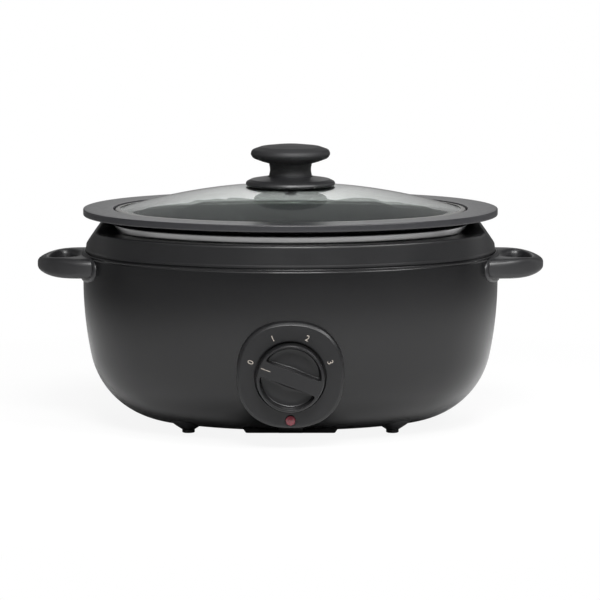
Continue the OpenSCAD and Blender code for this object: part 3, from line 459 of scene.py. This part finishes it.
def collar_rings():
    """Each station runs up the outer wall, over a rounded edge, across to the pot's opening and
    down it. The top is the greater of the flat rim and the pads' barrel crown, and the sloped ends
    are the lesser of that and a plane that leans in by END_LEAN degrees."""
    lean, round_r, pad_blend = 2.0, 1.4, 0.7
    low, edge = SEAM_Z + 0.8, COLLAR_Z
    opening_u, inner_u = -22.3, -23.5
    foot = fillets([(COLLAR_U - 3, SEAM_Z, 0), (COLLAR_U - 1, SEAM_Z, 0), (COLLAR_U - 1, low, 0),
                    (COLLAR_U, low, 0.3), (COLLAR_U, low + 1.5, 0)])
    wall_z = np.linspace(low + 2, edge - 1.6, 18)
    wall = np.c_[COLLAR_U - lean * (wall_z - low) / (edge - low), wall_z]
    t = np.linspace(0, math.pi / 2, 9)[1:]
    over = np.c_[COLLAR_U - lean - round_r * (1 - np.cos(t)), edge - round_r * (1 - np.sin(t))]
    outer = np.vstack([foot, wall, over])
    ox, oy = oval(BODY, outer[:, :1], PHI[None])
    ix, iy = oval(POT, opening_u, PHI[None])
    s = np.linspace(0, 1, 30)[1:, None]
    tx, ty = ox[-1:] * (1 - s) + ix * s, oy[-1:] * (1 - s) + iy * s
    tz = soft_max(edge, pad_crown(tx, ty, edge - 20), pad_blend)
    # The outer rows rise with the pads over their last 4 mm
    lift = soft_max(edge, pad_crown(ox, oy, 0), pad_blend) - edge
    oz = outer[:, 1:] + lift * np.clip((outer[:, 1:] - edge + 4) / 4, 0, 1)
    drop = fillets([(opening_u, 0, 0), (inner_u, 0, 0.9), (inner_u, -1, 0)])[1:]
    dx, dy = oval(POT, drop[:, :1], PHI[None])
    dz = tz[-1:] + drop[:, 1:]
    inner = np.array([(inner_u, 169.1), (-24.9, 169.1), (-24.9, 152.0)])
    lx, ly = oval(POT, inner[:, :1], PHI[None])
    lz = np.broadcast_to(inner[:, 1:], lx.shape)
    x, y, z = (np.vstack(v) for v in ((ox, tx, dx, lx), (oy, ty, dy, ly), (oz, tz, dz, lz)))
    beyond = BODY_HALF_LENGTH + COLLAR_U - np.abs(x)
    slope = SEAM_Z + 6 + beyond / math.tan(math.radians(END_LEAN))
    return xyz(x, y, soft_min(z, slope, 0.9))


piece("collar", "base", phenolic, [collar_rings()], ["top_collar"], loop=True)

# Heating liner: a pan with a rolled rim, from its underside over the rim to its inner floor
rolled = fillets([(-26.0, 168.0, 0), (-26.0, 169.4, 0.3), (-23.8, 169.6, 0.7), (-24.0, 174.9, 0.8),
                  (-29.0, 174.9, 1.4), (-29.3, 171.2, 0.8), (-27.2, 169.9, 0.4), (-27.2, 166.0, 0)])
pan = np.vstack([heel(-42, 66.8, 16), rolled, [(-27.2, 160.0)], heel(-42, 66.8, 14.8)[::-1]])
piece("liner", "base", spun,
      [capped(sweep(POT, finer(pan, 8), PHI), ((0, 0, 50.8), (0, 0, 52.0)), (10, 10))],
      ["heating_liner"])

# Pot: underside, drafted wall, flare to the flange, its rounded rim, the lid's stepped seat, inside
upper = fillets([(-31.2, 166.0, 0), (-30.4, 175.4, 1.0), (-24.0, 179.0, 6), (-6.0, 182.9, 1.5),
                 (-4.2, 181.2, 0.8), (0, 181.2, 1.3), (0, 187.0, 1.0), (-25.6, 187.0, 1.0),
                 (-26.6, 182.6, 0.6), (-32.8, 182.6, 1.2), (-33.2, 178.0, 0)])
casting = np.vstack([heel(-51.4, 68, 16), upper, heel(-51.4, 68, 13.6)[::-1]])
piece("pot", "pot", coating,
      [capped(sweep(POT, finer(casting, 6), PHI), ((0, 0, 52.0), (0, 0, 54.4)), (10, 10))],
      ["cooking_pot"])


# Lid
def dome(s):
    """Height of the glass at a share s of the way from its middle to its rim: a paraboloid,
    levelled off in the middle where the knob's skirt stands."""
    rim_z, rise, level_z = 186.2, 21.7, 206.1
    return soft_min(rim_z + rise * (1 - s ** 2), level_z, 0.8)


GLASS_T = 3.4
share = np.linspace(0, 1, 49)[:, None]
rim_x, rim_y = oval(POT, -32.4, PHI)
upper = xyz(rim_x * share, rim_y * share, dome(share))
lower = upper - [0, 0, GLASS_T]
edge = sweep(POT, fillets([(-32.0, 182.8, 0), (-28.4, 182.95, 1.1), (-28.4, 186.15, 1.1),
                           (-32.0, 186.15, 0)]), PHI)
piece("lid_pane", "lid", glass, [np.vstack([lower, edge, upper[::-1]])],
      ["lid_glass"])
band = fillets([(-27.4, 182.6, 0.6), (-27.4, 186.2, 0.9), (-31.4, 186.6, 0.1),
                (-31.4, 186.35, 0.05), (-28.2, 186.3, 0.3), (-28.2, 182.85, 0.2),
                (-31.4, 182.75, 0.05), (-31.4, 182.6, 0.05)], loop=True)
piece("lid_band", "lid", stainless, [sweep(POT, band, PHI)], ["lid_rim"],
      loop=True)

# Knob: a low-domed mushroom on a waisted neck with three faint turned rings, and a saucer skirt
neck_z = np.linspace(214.6, 224.6, 41)
waist = 18.3 - 0.7 * np.sin(math.pi * (neck_z - 213.9) / 12) ** 2
rings = sum(np.exp(-((neck_z - ring_z) / 0.35) ** 2) for ring_z in (215.6, 221.0, 223.4))
head = fillets([(18.4, 225.2, 1.8), (24.5, 226.9, 5), (32.2, 229.8, 4.5), (34.3, 233.2, 3.0),
                (33.0, 236.8, 3.4), (25.5, 239.5, 8), (12, 241.1, 14), (0, 241.5, 0)], steps=10)
knob = np.vstack([[(0, 213.4), (18.6, 213.4)], np.c_[waist + 0.12 * rings, neck_z], head])
piece("knob", "lid", matt_knob, [revolve(finer(knob, 2.0))], ["lid_knob"])
skirt = fillets([(0, 205.7, 0), (35.4, 205.9, 1.5), (37.9, 206.6, 0.8), (38.4, 208.0, 1.0),
                 (37.6, 209.7, 1.4), (33.8, 211.6, 4.0), (24, 213.2, 4), (19.6, 213.9, 0.6),
                 (18.8, 214.6, 0), (0, 214.6, 0)])
piece("knob_skirt", "lid", nylon, [revolve(finer(skirt, 2.5))],
      ["lid_knob_skirt"])


# Side handles
def handle_rings(side):
    """A flat loop round the finger slot. Along each ray from the slot's middle the section runs
    from the slot's edge to the D of the plan, whose straight side lies inside the shell; it is a
    superellipse, and its height tapers with the cube of the distance beyond the shell."""
    grip, slot_x, slot_y, slot_power = 10.6, 11.5, 27.0, 2.1
    root_x, taper_x, section_power = 158.0, 182.0, 2 / 3.6
    mid = HANDLE_REACH - grip - slot_x
    a = full_turn(160)
    c, s = np.cos(a), np.sin(a)
    d = mid - (HANDLE_REACH - HANDLE_R)
    disc = -d * c + np.sqrt((d * c) ** 2 - d * d + HANDLE_R ** 2)
    root = np.where(c < -0.02, (mid - root_x) / np.maximum(-c, 0.02), 500)
    far = soft_min(disc, root, 4.0)
    slot = np.abs(c / slot_x) ** slot_power + np.abs(s / slot_y) ** slot_power
    slot = slot ** (-1 / slot_power)
    b = full_turn(48)
    across, up = signed_power(np.cos(b), section_power), signed_power(np.sin(b), section_power)
    r = (far + slot)[:, None] / 2 + (far - slot)[:, None] / 2 * across[None]
    x, y = mid + r * c[:, None], r * s[:, None]
    taper = 1 - 0.5 * np.clip((x - taper_x) / (HANDLE_REACH - taper_x), 0, 1) ** 3
    return xyz(side * x, y, HANDLE_Z + HANDLE_H / 2 * up[None] * taper)


def escutcheon_rings(side):
    """A bead round the handle's root: a small ellipse carried round a rounded rectangle that lies
    on the shell, where x follows the shell's end arc at each height."""
    half_y, mid_z, half_z, power = 51.6, 138.2, 9.6, 2 / 2.8
    proud, half_width = 2.0, 3.3
    b = full_turn(144)[:, None]
    y = half_y * signed_power(np.cos(b), power)
    z = mid_z + half_z * signed_power(np.sin(b), power)
    r = BODY[1] + shell_u(z)
    nx, ny = np.sqrt(1 - (y / r) ** 2), y / r
    x = 3 * BODY[0] + r * nx
    ty, tz = np.gradient(y, axis=0), np.gradient(z, axis=0)
    length = np.hypot(ty, tz)
    q = full_turn(16)[None]
    out, along = proud * np.cos(q), half_width * np.sin(q)
    across_y, across_z = along * tz / length, -along * ty / length
    return xyz(side * (x + nx * out - ny * across_y), y + ny * out + nx * across_y, z + across_z)


for side, word in ((-1, "left"), (1, "right")):
    piece("handle_" + word, "base", nylon,
          [handle_rings(side), escutcheon_rings(side)], ["side_handle_" + word], loop=True)


# Control panel
def panel_rings():
    """From the middle of the dial's pocket outward: its floor, its wall, then the face, whose rings
    blend from the pocket's circle to a superellipse, the chamfer and the side wall, which runs back
    to 2 mm inside the shell at each point. The closing back meets in the middle, behind the pocket.
    The lamp's lens stands in a shallow dish: the face sinks as a logistic step about it."""
    floor_r, face_r, pocket, chamfer, wall_depth = 29.2, 30.4, 6.0, 4.2, 5.0
    back_pole, inside_shell = 13.5, 2.0
    dish, dish_r, dish_slope = 0.5, 4.6, 0.15
    a = full_turn(288)
    c, s = np.cos(a), np.sin(a)

    def outline(inset):
        """The panel's edge, a superellipse a little above the dial's middle, moved in by inset."""
        half_width, half_height, rise, power = 44.4, 44.25, 1.1, 2 / 2.35
        return ((half_width - inset) * signed_power(c, power),
                (half_height - inset) * signed_power(s, power) + rise)

    wall = fillets([(floor_r, pocket, 0), (29.6, pocket, 0.3), (29.6, 0, 0.4), (face_r, 0, 0)])
    eased = fillets([(chamfer, 0, 0), (2.6, 0, 1.6), (0.5, 1.7, 1.6), (0, wall_depth, 0)])
    edge_x, edge_z = outline(chamfer)
    rows = [(r * c, r * s, -pocket) for r in np.linspace(0, floor_r, 14)]
    rows += [(r * c, r * s, -depth) for r, depth in wall[1:]]
    rows += [(face_r * c * (1 - k) + edge_x * k, face_r * s * (1 - k) + edge_z * k, 0.0)
             for k in np.linspace(0, 1, 34)[1:]]
    rows += [(*outline(inset), -depth) for inset, depth in eased[1:]]
    x, z = outline(0)
    up = z + DIAL_Z
    bowl = BOWL_U + np.sqrt(np.maximum(BOWL_R ** 2 - (BOWL_Z - up) ** 2, 0))
    u = np.where(up > BOWL_TOP_Z, shell_u(up), bowl)
    back = BODY_SIDE_CENTRE - np.sqrt((BODY_SIDE_R + u) ** 2 - x ** 2) - FACE_Y + inside_shell
    rows += [(x, z, -wall_depth - (back - wall_depth) * k) for k in (0.25, 0.5, 0.75, 1.0)]
    rows += [(x * k, z * k, -back * k - back_pole * (1 - k)) for k in (0.75, 0.5, 0.25, 0.0)]
    p = np.stack([xyz(*row) for row in rows])
    gap = np.hypot(p[..., 0], p[..., 1] - (LENS_Z - DIAL_Z))
    sink = dish / (1 + np.exp((gap - dish_r) / dish_slope))
    p[..., 2] -= np.where(p[..., 2] > -dish, sink, 0)
    return facing_front(p, FACE_Y, DIAL_Z)


def chin_rings():
    """A trapezoid with rounded lower corners, carried back under the shell. Its front edge is
    eased: the first rings shrink a little towards the middle."""
    front_y, back_y, mid_z = -80.0, -68.5, 6.5
    eases = ((front_y, 0.0625), (-79.6, 0.01875), (-79.0, 0.0), (back_y, 0.0))
    ring = fillets([(-37.5, 4.4, 1.5), (37.5, 4.4, 1.5), (41.0, 9.4, 0.5), (-41.0, 9.4, 0.5)],
                   loop=True)
    ring = finer(ring, 1.5, loop=True)
    rows = np.stack([xyz(ring[:, 0] * (1 - ease), y, ring[:, 1] + (mid_z - ring[:, 1]) * ease)
                     for y, ease in eases])
    return capped(rows, ((0, front_y, mid_z), (0, back_y, mid_z)), (6, 2))


def web_rings():
    """The short web, 20 mm wide, that joins the panel to the chin under the shell."""
    side = np.array([(-133.5, 20.0), (-80.4, 4.5), (-72.4, 4.5), (-72.4, 16.4), (-125.5, 30.5)])
    rows = np.stack([xyz(x, side[:, 0], side[:, 1]) for x in (-10, 10)])
    return capped(rows, rows.mean(1), (2, 2))


piece("panel", "base", abs_panel, [panel_rings()], ["control_housing"], sharp=30)
# The chin and its web wear the panel's ABS darkened as painted shade
piece("chin", "base", abs_matt_shaded, [chin_rings(), web_rings()], sharp=30)


# Dial
def on_dial(points):
    """Turns points about the dial's axis to the grip bar's tilt, and puts them on its front."""
    c, s = math.cos(BAR_TURN), math.sin(BAR_TURN)
    x, y = points[..., 0], points[..., 1]
    return facing_front(xyz(x * c - y * s, x * s + y * c, points[..., 2]), DIAL_Y, DIAL_Z)


def dial_half(sign):
    """One half of the dial's front. Its outer ring is the half disc up to the rim's crest, and its
    inner rings are the finger recess: a circle cut by the grip bar's edge, with a soft corner."""
    mid, crest_r, recess_r, bar_edge, recess_depth = 15.0, 26.4, 25.7, 6.1, 9.0
    corner = math.atan2(-mid, crest_r)
    a = np.r_[np.linspace(corner, math.pi - corner, 120, endpoint=False),
              np.linspace(math.pi - corner, 2 * math.pi + corner, 60, endpoint=False)]
    c, s = np.cos(a), np.sin(a)

    def circle(r):
        """How far each ray from the recess's middle runs to the dial's circle of radius r."""
        return -mid * s + np.sqrt((mid * s) ** 2 - mid ** 2 + r ** 2)

    def chord(v):
        """How far each ray runs to the line at height v, and far off where it runs the other way."""
        return np.where(s < -1e-9, (v - mid) / np.minimum(s, -1e-9), 1e3)

    rim = np.minimum(circle(crest_r), chord(0.0))
    recess = soft_min(circle(recess_r), chord(bar_edge), 3.6)
    lip = 0.9
    wall = fillets([(-lip, 0, 0), (0, 0, 1.0), (1.4, 8.6, 2.0), (5.5, recess_depth, 0)], steps=8)
    rows = [(rim * (1 - k) + (recess + lip) * k, 0.0) for k in np.linspace(0, 1, 7)]
    rows += [(recess - inset, depth) for inset, depth in wall[1:]]
    p = np.stack([xyz(r * c, mid + r * s, -d) for r, d in rows])
    p = np.vstack([p, inward(p[-1], (0, mid, -recess_depth), 8)])
    return p * [sign, sign, 1]


def dial_rim():
    """The dial's rim, a turned ring from the crest round its edge to the closed back."""
    ring = fillets([(26.4, 0, 0), (27.1, -0.05, 0.4), (27.9, -0.9, 0.9), (28.0, -6, 0),
                    (28.0, -15.2, 0.4), (26, -15.4, 0)])
    return revolve(np.vstack([ring, [(0, -15.4)]]), 180)


def pointer_rings():
    """The pointer: a slim superelliptic bar, a hair proud of the grip bar's outer end."""
    mid_x, half_length, half_width, sunk, proud = -21.6, 4.4, 0.25, -0.4, 0.05
    a = full_turn(48)
    x = mid_x + half_length * signed_power(np.cos(a), 0.35)
    y = half_width * signed_power(np.sin(a), 0.7)
    rows = np.stack([xyz(x, y, z) for z in (sunk, proud)])
    return capped(rows, ((mid_x, 0, sunk), (mid_x, 0, proud + 0.02)), (2, 3))


piece("dial", "dial", abs_dial,
      [on_dial(p) for p in (dial_rim(), dial_half(1), dial_half(-1))], ["control_knob"], sharp=30)
piece("pointer", "dial", ink, [on_dial(pointer_rings())], ["knob_mark"])

# Lens: a low dome with a stepped edge
lens = np.vstack([[(0, -8), (LENS_R, -8)],
                  fillets([(LENS_R, 0.2, 0.3), (3.6, 0.9, 0.6), (0, 1.5, 0)], steps=8)])
piece("lens", "base", lens_red,
      [facing_front(revolve(finer(lens, 0.8), 64), FACE_Y, LENS_Z)], ["indicator_lens"])


# Figures round the dial
def figure(text, degrees):
    """A printed figure: made a mesh first, then turned to face outward from the dial and moved to
    its place on the panel's face, a hair in front of it."""
    curve = bpy.data.curves.new("figure_" + text, "FONT")
    curve.body = text
    curve.size = FIGURE_SIZE * MM
    curve.extrude = 0.02 * MM
    curve.align_x, curve.align_y = "CENTER", "CENTER"
    holder = linked("figure_" + text, curve)
    bpy.context.view_layer.update()
    depsgraph = bpy.context.evaluated_depsgraph_get()
    mesh = bpy.data.meshes.new_from_object(holder.evaluated_get(depsgraph))
    bpy.data.objects.remove(holder)
    co = np.zeros(len(mesh.vertices) * 3, np.float32)
    mesh.vertices.foreach_get("co", co)
    co = co.reshape(-1, 3)
    a = math.radians(degrees)
    place = np.array([FIGURE_R * math.cos(a), 0, DIAL_Z + FIGURE_R * math.sin(a)]) * MM
    c, s = math.sin(a), -math.cos(a)
    out = np.c_[co[:, 0] * c - co[:, 1] * s, -co[:, 2] + (FACE_Y + AXIS_Y - 0.03) * MM,
                co[:, 0] * s + co[:, 1] * c] + place
    mesh.vertices.foreach_set("co", out.astype(np.float32).ravel())
    mesh.update()
    mesh.materials.clear()
    mesh.materials.append(ink)
    obj = linked("figure_" + text, mesh)
    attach(obj, "base")


for text, degrees in (("0", 159.5), ("1", 114.5), ("2", 66.5), ("3", 20.5)):
    figure(text, degrees)


# Feet
def foot_rings(fx, fy):
    """A flared cone about the foot's axis: from its flat end it widens by flare for each mm that it
    rises, and from blend_r outward a smooth step carries it up to the shell's curve over it."""
    flat_r, flat_z, outer_r, flare = 5.8, 3.0, 21.0, 1.5
    blend_r, blend_width = 11.0, 9.0
    a = full_turn(96)
    r = np.r_[0.0, 5.0, np.linspace(5.75, outer_r, 26)][:, None]
    x, y = fx + r * np.cos(a), fy + r * np.sin(a)
    cone = flat_z + np.maximum(r - flat_r, 0) / flare
    over = shell_z(x, y) + 0.4
    t = np.clip((r - blend_r) / blend_width, 0, 1)
    z = cone + np.maximum(over - cone, 0) * t * t * (3 - 2 * t)
    rows = xyz(x, y, z)
    return np.vstack([rows, inward(rows[-1] + [0, 0, 1.0], (fx, fy, 16.0), 2)])


def tip_rings(fx, fy):
    """The rubber tip: a short plug with a rounded lower edge."""
    lower = fillets([(5.35, 3.0, 0), (5.4, 0, 0.9), (0, 0, 0)])
    return revolve(np.vstack([[(0, 3.05), (5.2, 3.05)], lower]), 72) + [fx, fy, 0]


piece("feet", "base", nylon, [foot_rings(*at) for at in FEET], ["base_feet"])
piece("foot_tips", "base", rubber, [tip_rings(*at) for at in FEET], ["rubber_feet"])


# Stage, in metres: a pale paper floor that keeps the cooker's shadow, lit cloths, lamps, the camera
def paper():
    """Matt white paper: shaded as paper, and lifted to white where it is looked at straight or
    through glass, so that only the shadow shows. Glossy surfaces see part of that white, from 0.6 m
    out and mostly in front. The paper's colour is darkened as painted shade: a painted shadow under
    the cooker, and painted shade on the left and far off."""
    material, tree, shader, place = blank("studio_paper")
    fibre = add(tree, "ShaderNodeTexNoise", {"Vector": place, "Scale": 400.0, "Detail": 3.0})
    tone = add(tree, "ShaderNodeMix", {"Factor": fibre.outputs["Fac"], "A": lin("#e8e8e8"),
                                       "B": lin("#ececec")}, data_type="RGBA")
    axes = add(tree, "ShaderNodeSeparateXYZ", {"Vector": place})
    far = add(tree, "ShaderNodeVectorMath", {0: place}, operation="LENGTH").outputs["Value"]
    oblong = add(tree, "ShaderNodeVectorMath", {0: place, 1: (1.0, 1.3, 1.0)},
                 operation="MULTIPLY").outputs["Vector"]
    wide = add(tree, "ShaderNodeVectorMath", {0: oblong}, operation="LENGTH").outputs["Value"]
    # Each runs between two levels as a distance goes from its start to its end
    left, under, outer, lift, beyond, ahead = (
        add(tree, "ShaderNodeMapRange", {"Value": value, "From Min": start, "From Max": end,
                                         "To Min": low, "To Max": high}).outputs["Result"]
        for value, start, end, low, high in (
            (axes.outputs["X"], -0.9, -0.3, 0.5, 1.0),
            (wide, 0.11, 0.17, 0.35, 1.0),
            (wide, 0.45, 1.1, 1.0, 0.3),
            (far, 0.25, 0.6, 0.9, 1.0),
            (far, 0.6, 1.2, 0.0, 0.46),
            (axes.outputs["Y"], -0.7, 0.0, 1.0, 0.25)))
    # left, under and outer darken the paper's colour: painted shade on the left, a painted shadow
    # under the cooker and painted shade far off
    grey = add(tree, "ShaderNodeMath", {0: under, 1: outer}, operation="MULTIPLY")
    grey = add(tree, "ShaderNodeMath", {0: left, 1: grey.outputs["Value"]}, operation="MULTIPLY")
    colour = add(tree, "ShaderNodeVectorMath",
                 {0: tone.outputs["Result"], "Scale": grey.outputs["Value"]}, operation="SCALE")
    tree.links.new(colour.outputs["Vector"], shader.inputs["Base Color"])
    shader.inputs["Roughness"].default_value = 0.9
    shader.inputs["Specular IOR Level"].default_value = 0.2

    rays = add(tree, "ShaderNodeLightPath").outputs
    straight = add(tree, "ShaderNodeMath",
                   {0: rays["Is Camera Ray"], 1: rays["Is Transmission Ray"]}, operation="MAXIMUM")
    seen = add(tree, "ShaderNodeMath", {0: straight.outputs["Value"], 1: lift},
               operation="MULTIPLY")
    partly = add(tree, "ShaderNodeMath", {0: ahead, 1: beyond}, operation="MULTIPLY")
    mirrored = add(tree, "ShaderNodeMath", {0: rays["Is Glossy Ray"], 1: partly.outputs["Value"]},
                   operation="MULTIPLY")
    share = add(tree, "ShaderNodeMath", {0: seen.outputs["Value"], 1: mirrored.outputs["Value"]},
                operation="MAXIMUM")
    white = add(tree, "ShaderNodeEmission", {"Color": (1, 1, 1, 1), "Strength": 1.0})
    mix = add(tree, "ShaderNodeMixShader", {0: share.outputs["Value"], 1: shader.outputs["BSDF"],
                                            2: white.outputs["Emission"]})
    tree.links.new(mix.outputs["Shader"], tree.nodes["Material Output"].inputs["Surface"])
    return material


def sheet(name, points, material):
    """A stage sheet through a grid of points, in metres: quads between neighbouring rows."""
    rows, columns = points.shape[:2]
    index = np.arange(rows * columns).reshape(rows, columns)
    quads = np.stack([index[:-1, :-1], index[:-1, 1:], index[1:, 1:], index[1:, :-1]], -1)
    mesh = bpy.data.meshes.new(name)
    mesh.from_pydata(points.reshape(-1, 3).tolist(), [], quads.reshape(-1, 4).tolist())
    mesh.materials.append(material)
    obj = linked(name, mesh)
    return obj


def lit_cloth(name, low, high, z_low, z_high, reach):
    """White cloth lit from behind: its brightness rises from low to high between two heights in
    metres, and falls to a quarter towards its ends, at a reach to either side."""
    material, tree, _, place = blank(name)
    axes = add(tree, "ShaderNodeSeparateXYZ", {"Vector": place})
    level = add(tree, "ShaderNodeMapRange", {"Value": axes.outputs["Z"], "From Min": z_low,
                                             "From Max": z_high, "To Min": low, "To Max": high})
    away = add(tree, "ShaderNodeMath", {0: axes.outputs["X"]}, operation="ABSOLUTE")
    fade = add(tree, "ShaderNodeMapRange",
               {"Value": away.outputs["Value"], "From Min": 0.25 * reach, "From Max": reach,
                "To Min": 1.0, "To Max": 0.25})
    power = add(tree, "ShaderNodeMath", {0: level.outputs["Result"], 1: fade.outputs["Result"]},
                operation="MULTIPLY")
    glow = add(tree, "ShaderNodeEmission",
               {"Color": (1, 1, 1, 1), "Strength": power.outputs["Value"]})
    tree.links.new(glow.outputs["Emission"], tree.nodes["Material Output"].inputs["Surface"])
    return material


sheet("floor", np.array([[(-6, -4, 0), (6, -4, 0)], [(-6, 14, 0), (6, 14, 0)]], float), paper())

# A lit cloth stands behind, with a crumpled upper edge that shows in the glass. A brighter one
# hangs round the front, above the camera's line. The camera sees neither.
BACK_HALF, FRONT_R, FRONT_FOOT = 0.62, 2.4, 0.8
across = np.linspace(-BACK_HALF, BACK_HALF, 63)
crumple = np.random.default_rng(4).normal(0, 0.05, len(across))
top = 1.8 + crumple + np.roll(crumple, 1) - 1.75 * np.abs(across)
behind = sheet("back_cloth", np.stack([xyz(across, 2.2, z) for z in (0.0, top)]),
               lit_cloth("back_lit_cloth", 0.15, 1.8, 0.1, 1.5, BACK_HALF))
a = np.radians(np.linspace(-80, 80, 33))
front = sheet("front_cloth", np.stack([xyz(FRONT_R * np.sin(a), -FRONT_R * np.cos(a), z)
                                       for z in (FRONT_FOOT, 1.85)]),
              lit_cloth("front_lit_cloth", 0.5, 3.2, FRONT_FOOT, 1.6, FRONT_R))
for cloth in (behind, front):
    cloth.visible_camera = False
    cloth.visible_transmission = False
    cloth.visible_shadow = False


def lamp(name, place, aim, size, power):
    """A soft box: a rectangular area lamp that looks at a point, with its power in watts."""
    light = bpy.data.lights.new(name, "AREA")
    light.shape = "RECTANGLE"
    light.size, light.size_y = size
    light.energy = power
    obj = linked(name, light)
    obj.location = place
    obj.rotation_euler = (Vector(aim) - Vector(place)).to_track_quat("-Z", "Y").to_euler()


MIDDLE = (0, 0, 0.1)
lamp("key_box", (0.1, -1.6, 1.75), MIDDLE, (0.9, 0.5), 62)
lamp("left_box", (-1.7, 0.8, 0.7), MIDDLE, (0.8, 1.2), 0.8)
lamp("right_box", (1.7, 0.8, 0.7), MIDDLE, (0.8, 1.2), 2)
lamp("right_floor_box", (1.15, -0.9, 1.3), (0.55, -0.5, 0), (0.7, 0.7), 22)
lamp("top_box", (0.1, 0.0, 1.9), MIDDLE, (1.2, 0.9), 9)

# World: a dim room, white to the camera and through glass, and to glossy surfaces a grey that
# fades from the horizon upward. The white through glass dims once a ray has bounced.
scene = bpy.context.scene
scene.view_settings.view_transform = "Standard"
world = bpy.data.worlds.new("studio")
scene.world = world
world.use_nodes = True
tree = world.node_tree
tree.nodes.clear()
rays = add(tree, "ShaderNodeLightPath").outputs
bounces = add(tree, "ShaderNodeMath", {0: rays["Diffuse Depth"], 1: rays["Glossy Depth"]},
              operation="ADD")
direct = add(tree, "ShaderNodeMapRange", {"Value": bounces.outputs["Value"], "To Min": 1.0,
                                          "To Max": 0.4})
through = add(tree, "ShaderNodeMath", {0: direct.outputs["Result"], 1: rays["Is Transmission Ray"]},
              operation="MULTIPLY")
direction = add(tree, "ShaderNodeTexCoord").outputs["Generated"]
axes = add(tree, "ShaderNodeSeparateXYZ", {"Vector": direction})
horizon = add(tree, "ShaderNodeMapRange", {"Value": axes.outputs["Z"], "From Min": 0.05,
                                           "From Max": 0.35, "To Min": 0.24, "To Max": 0.04})
mirrored = add(tree, "ShaderNodeMath", {0: rays["Is Glossy Ray"], 1: horizon.outputs["Result"]},
               operation="MULTIPLY")
straight = add(tree, "ShaderNodeMath", {0: rays["Is Camera Ray"], 1: through.outputs["Value"]},
               operation="MAXIMUM")
seen = add(tree, "ShaderNodeMath", {0: straight.outputs["Value"], 1: mirrored.outputs["Value"]},
           operation="MAXIMUM")
room = add(tree, "ShaderNodeBackground", {"Color": lin("#303030"), "Strength": 1.0})
white = add(tree, "ShaderNodeBackground", {"Color": (1, 1, 1, 1), "Strength": 1.0})
sky = add(tree, "ShaderNodeMixShader", {0: seen.outputs["Value"], 1: room.outputs["Background"],
                                        2: white.outputs["Background"]})
add(tree, "ShaderNodeOutputWorld", {"Surface": sky.outputs["Shader"]})

camera = linked("camera", bpy.data.cameras.new("camera"))
eye, aim = Vector((0.0, -2.994, 0.505)), Vector((0.0, 0.006, 0.110))
camera.location = eye
camera.rotation_euler = (aim - eye).to_track_quat("-Z", "Y").to_euler()
camera.data.lens = 210.9
camera.data.shift_x = 0.0159
camera.data.shift_y = -0.00595
scene.camera = camera
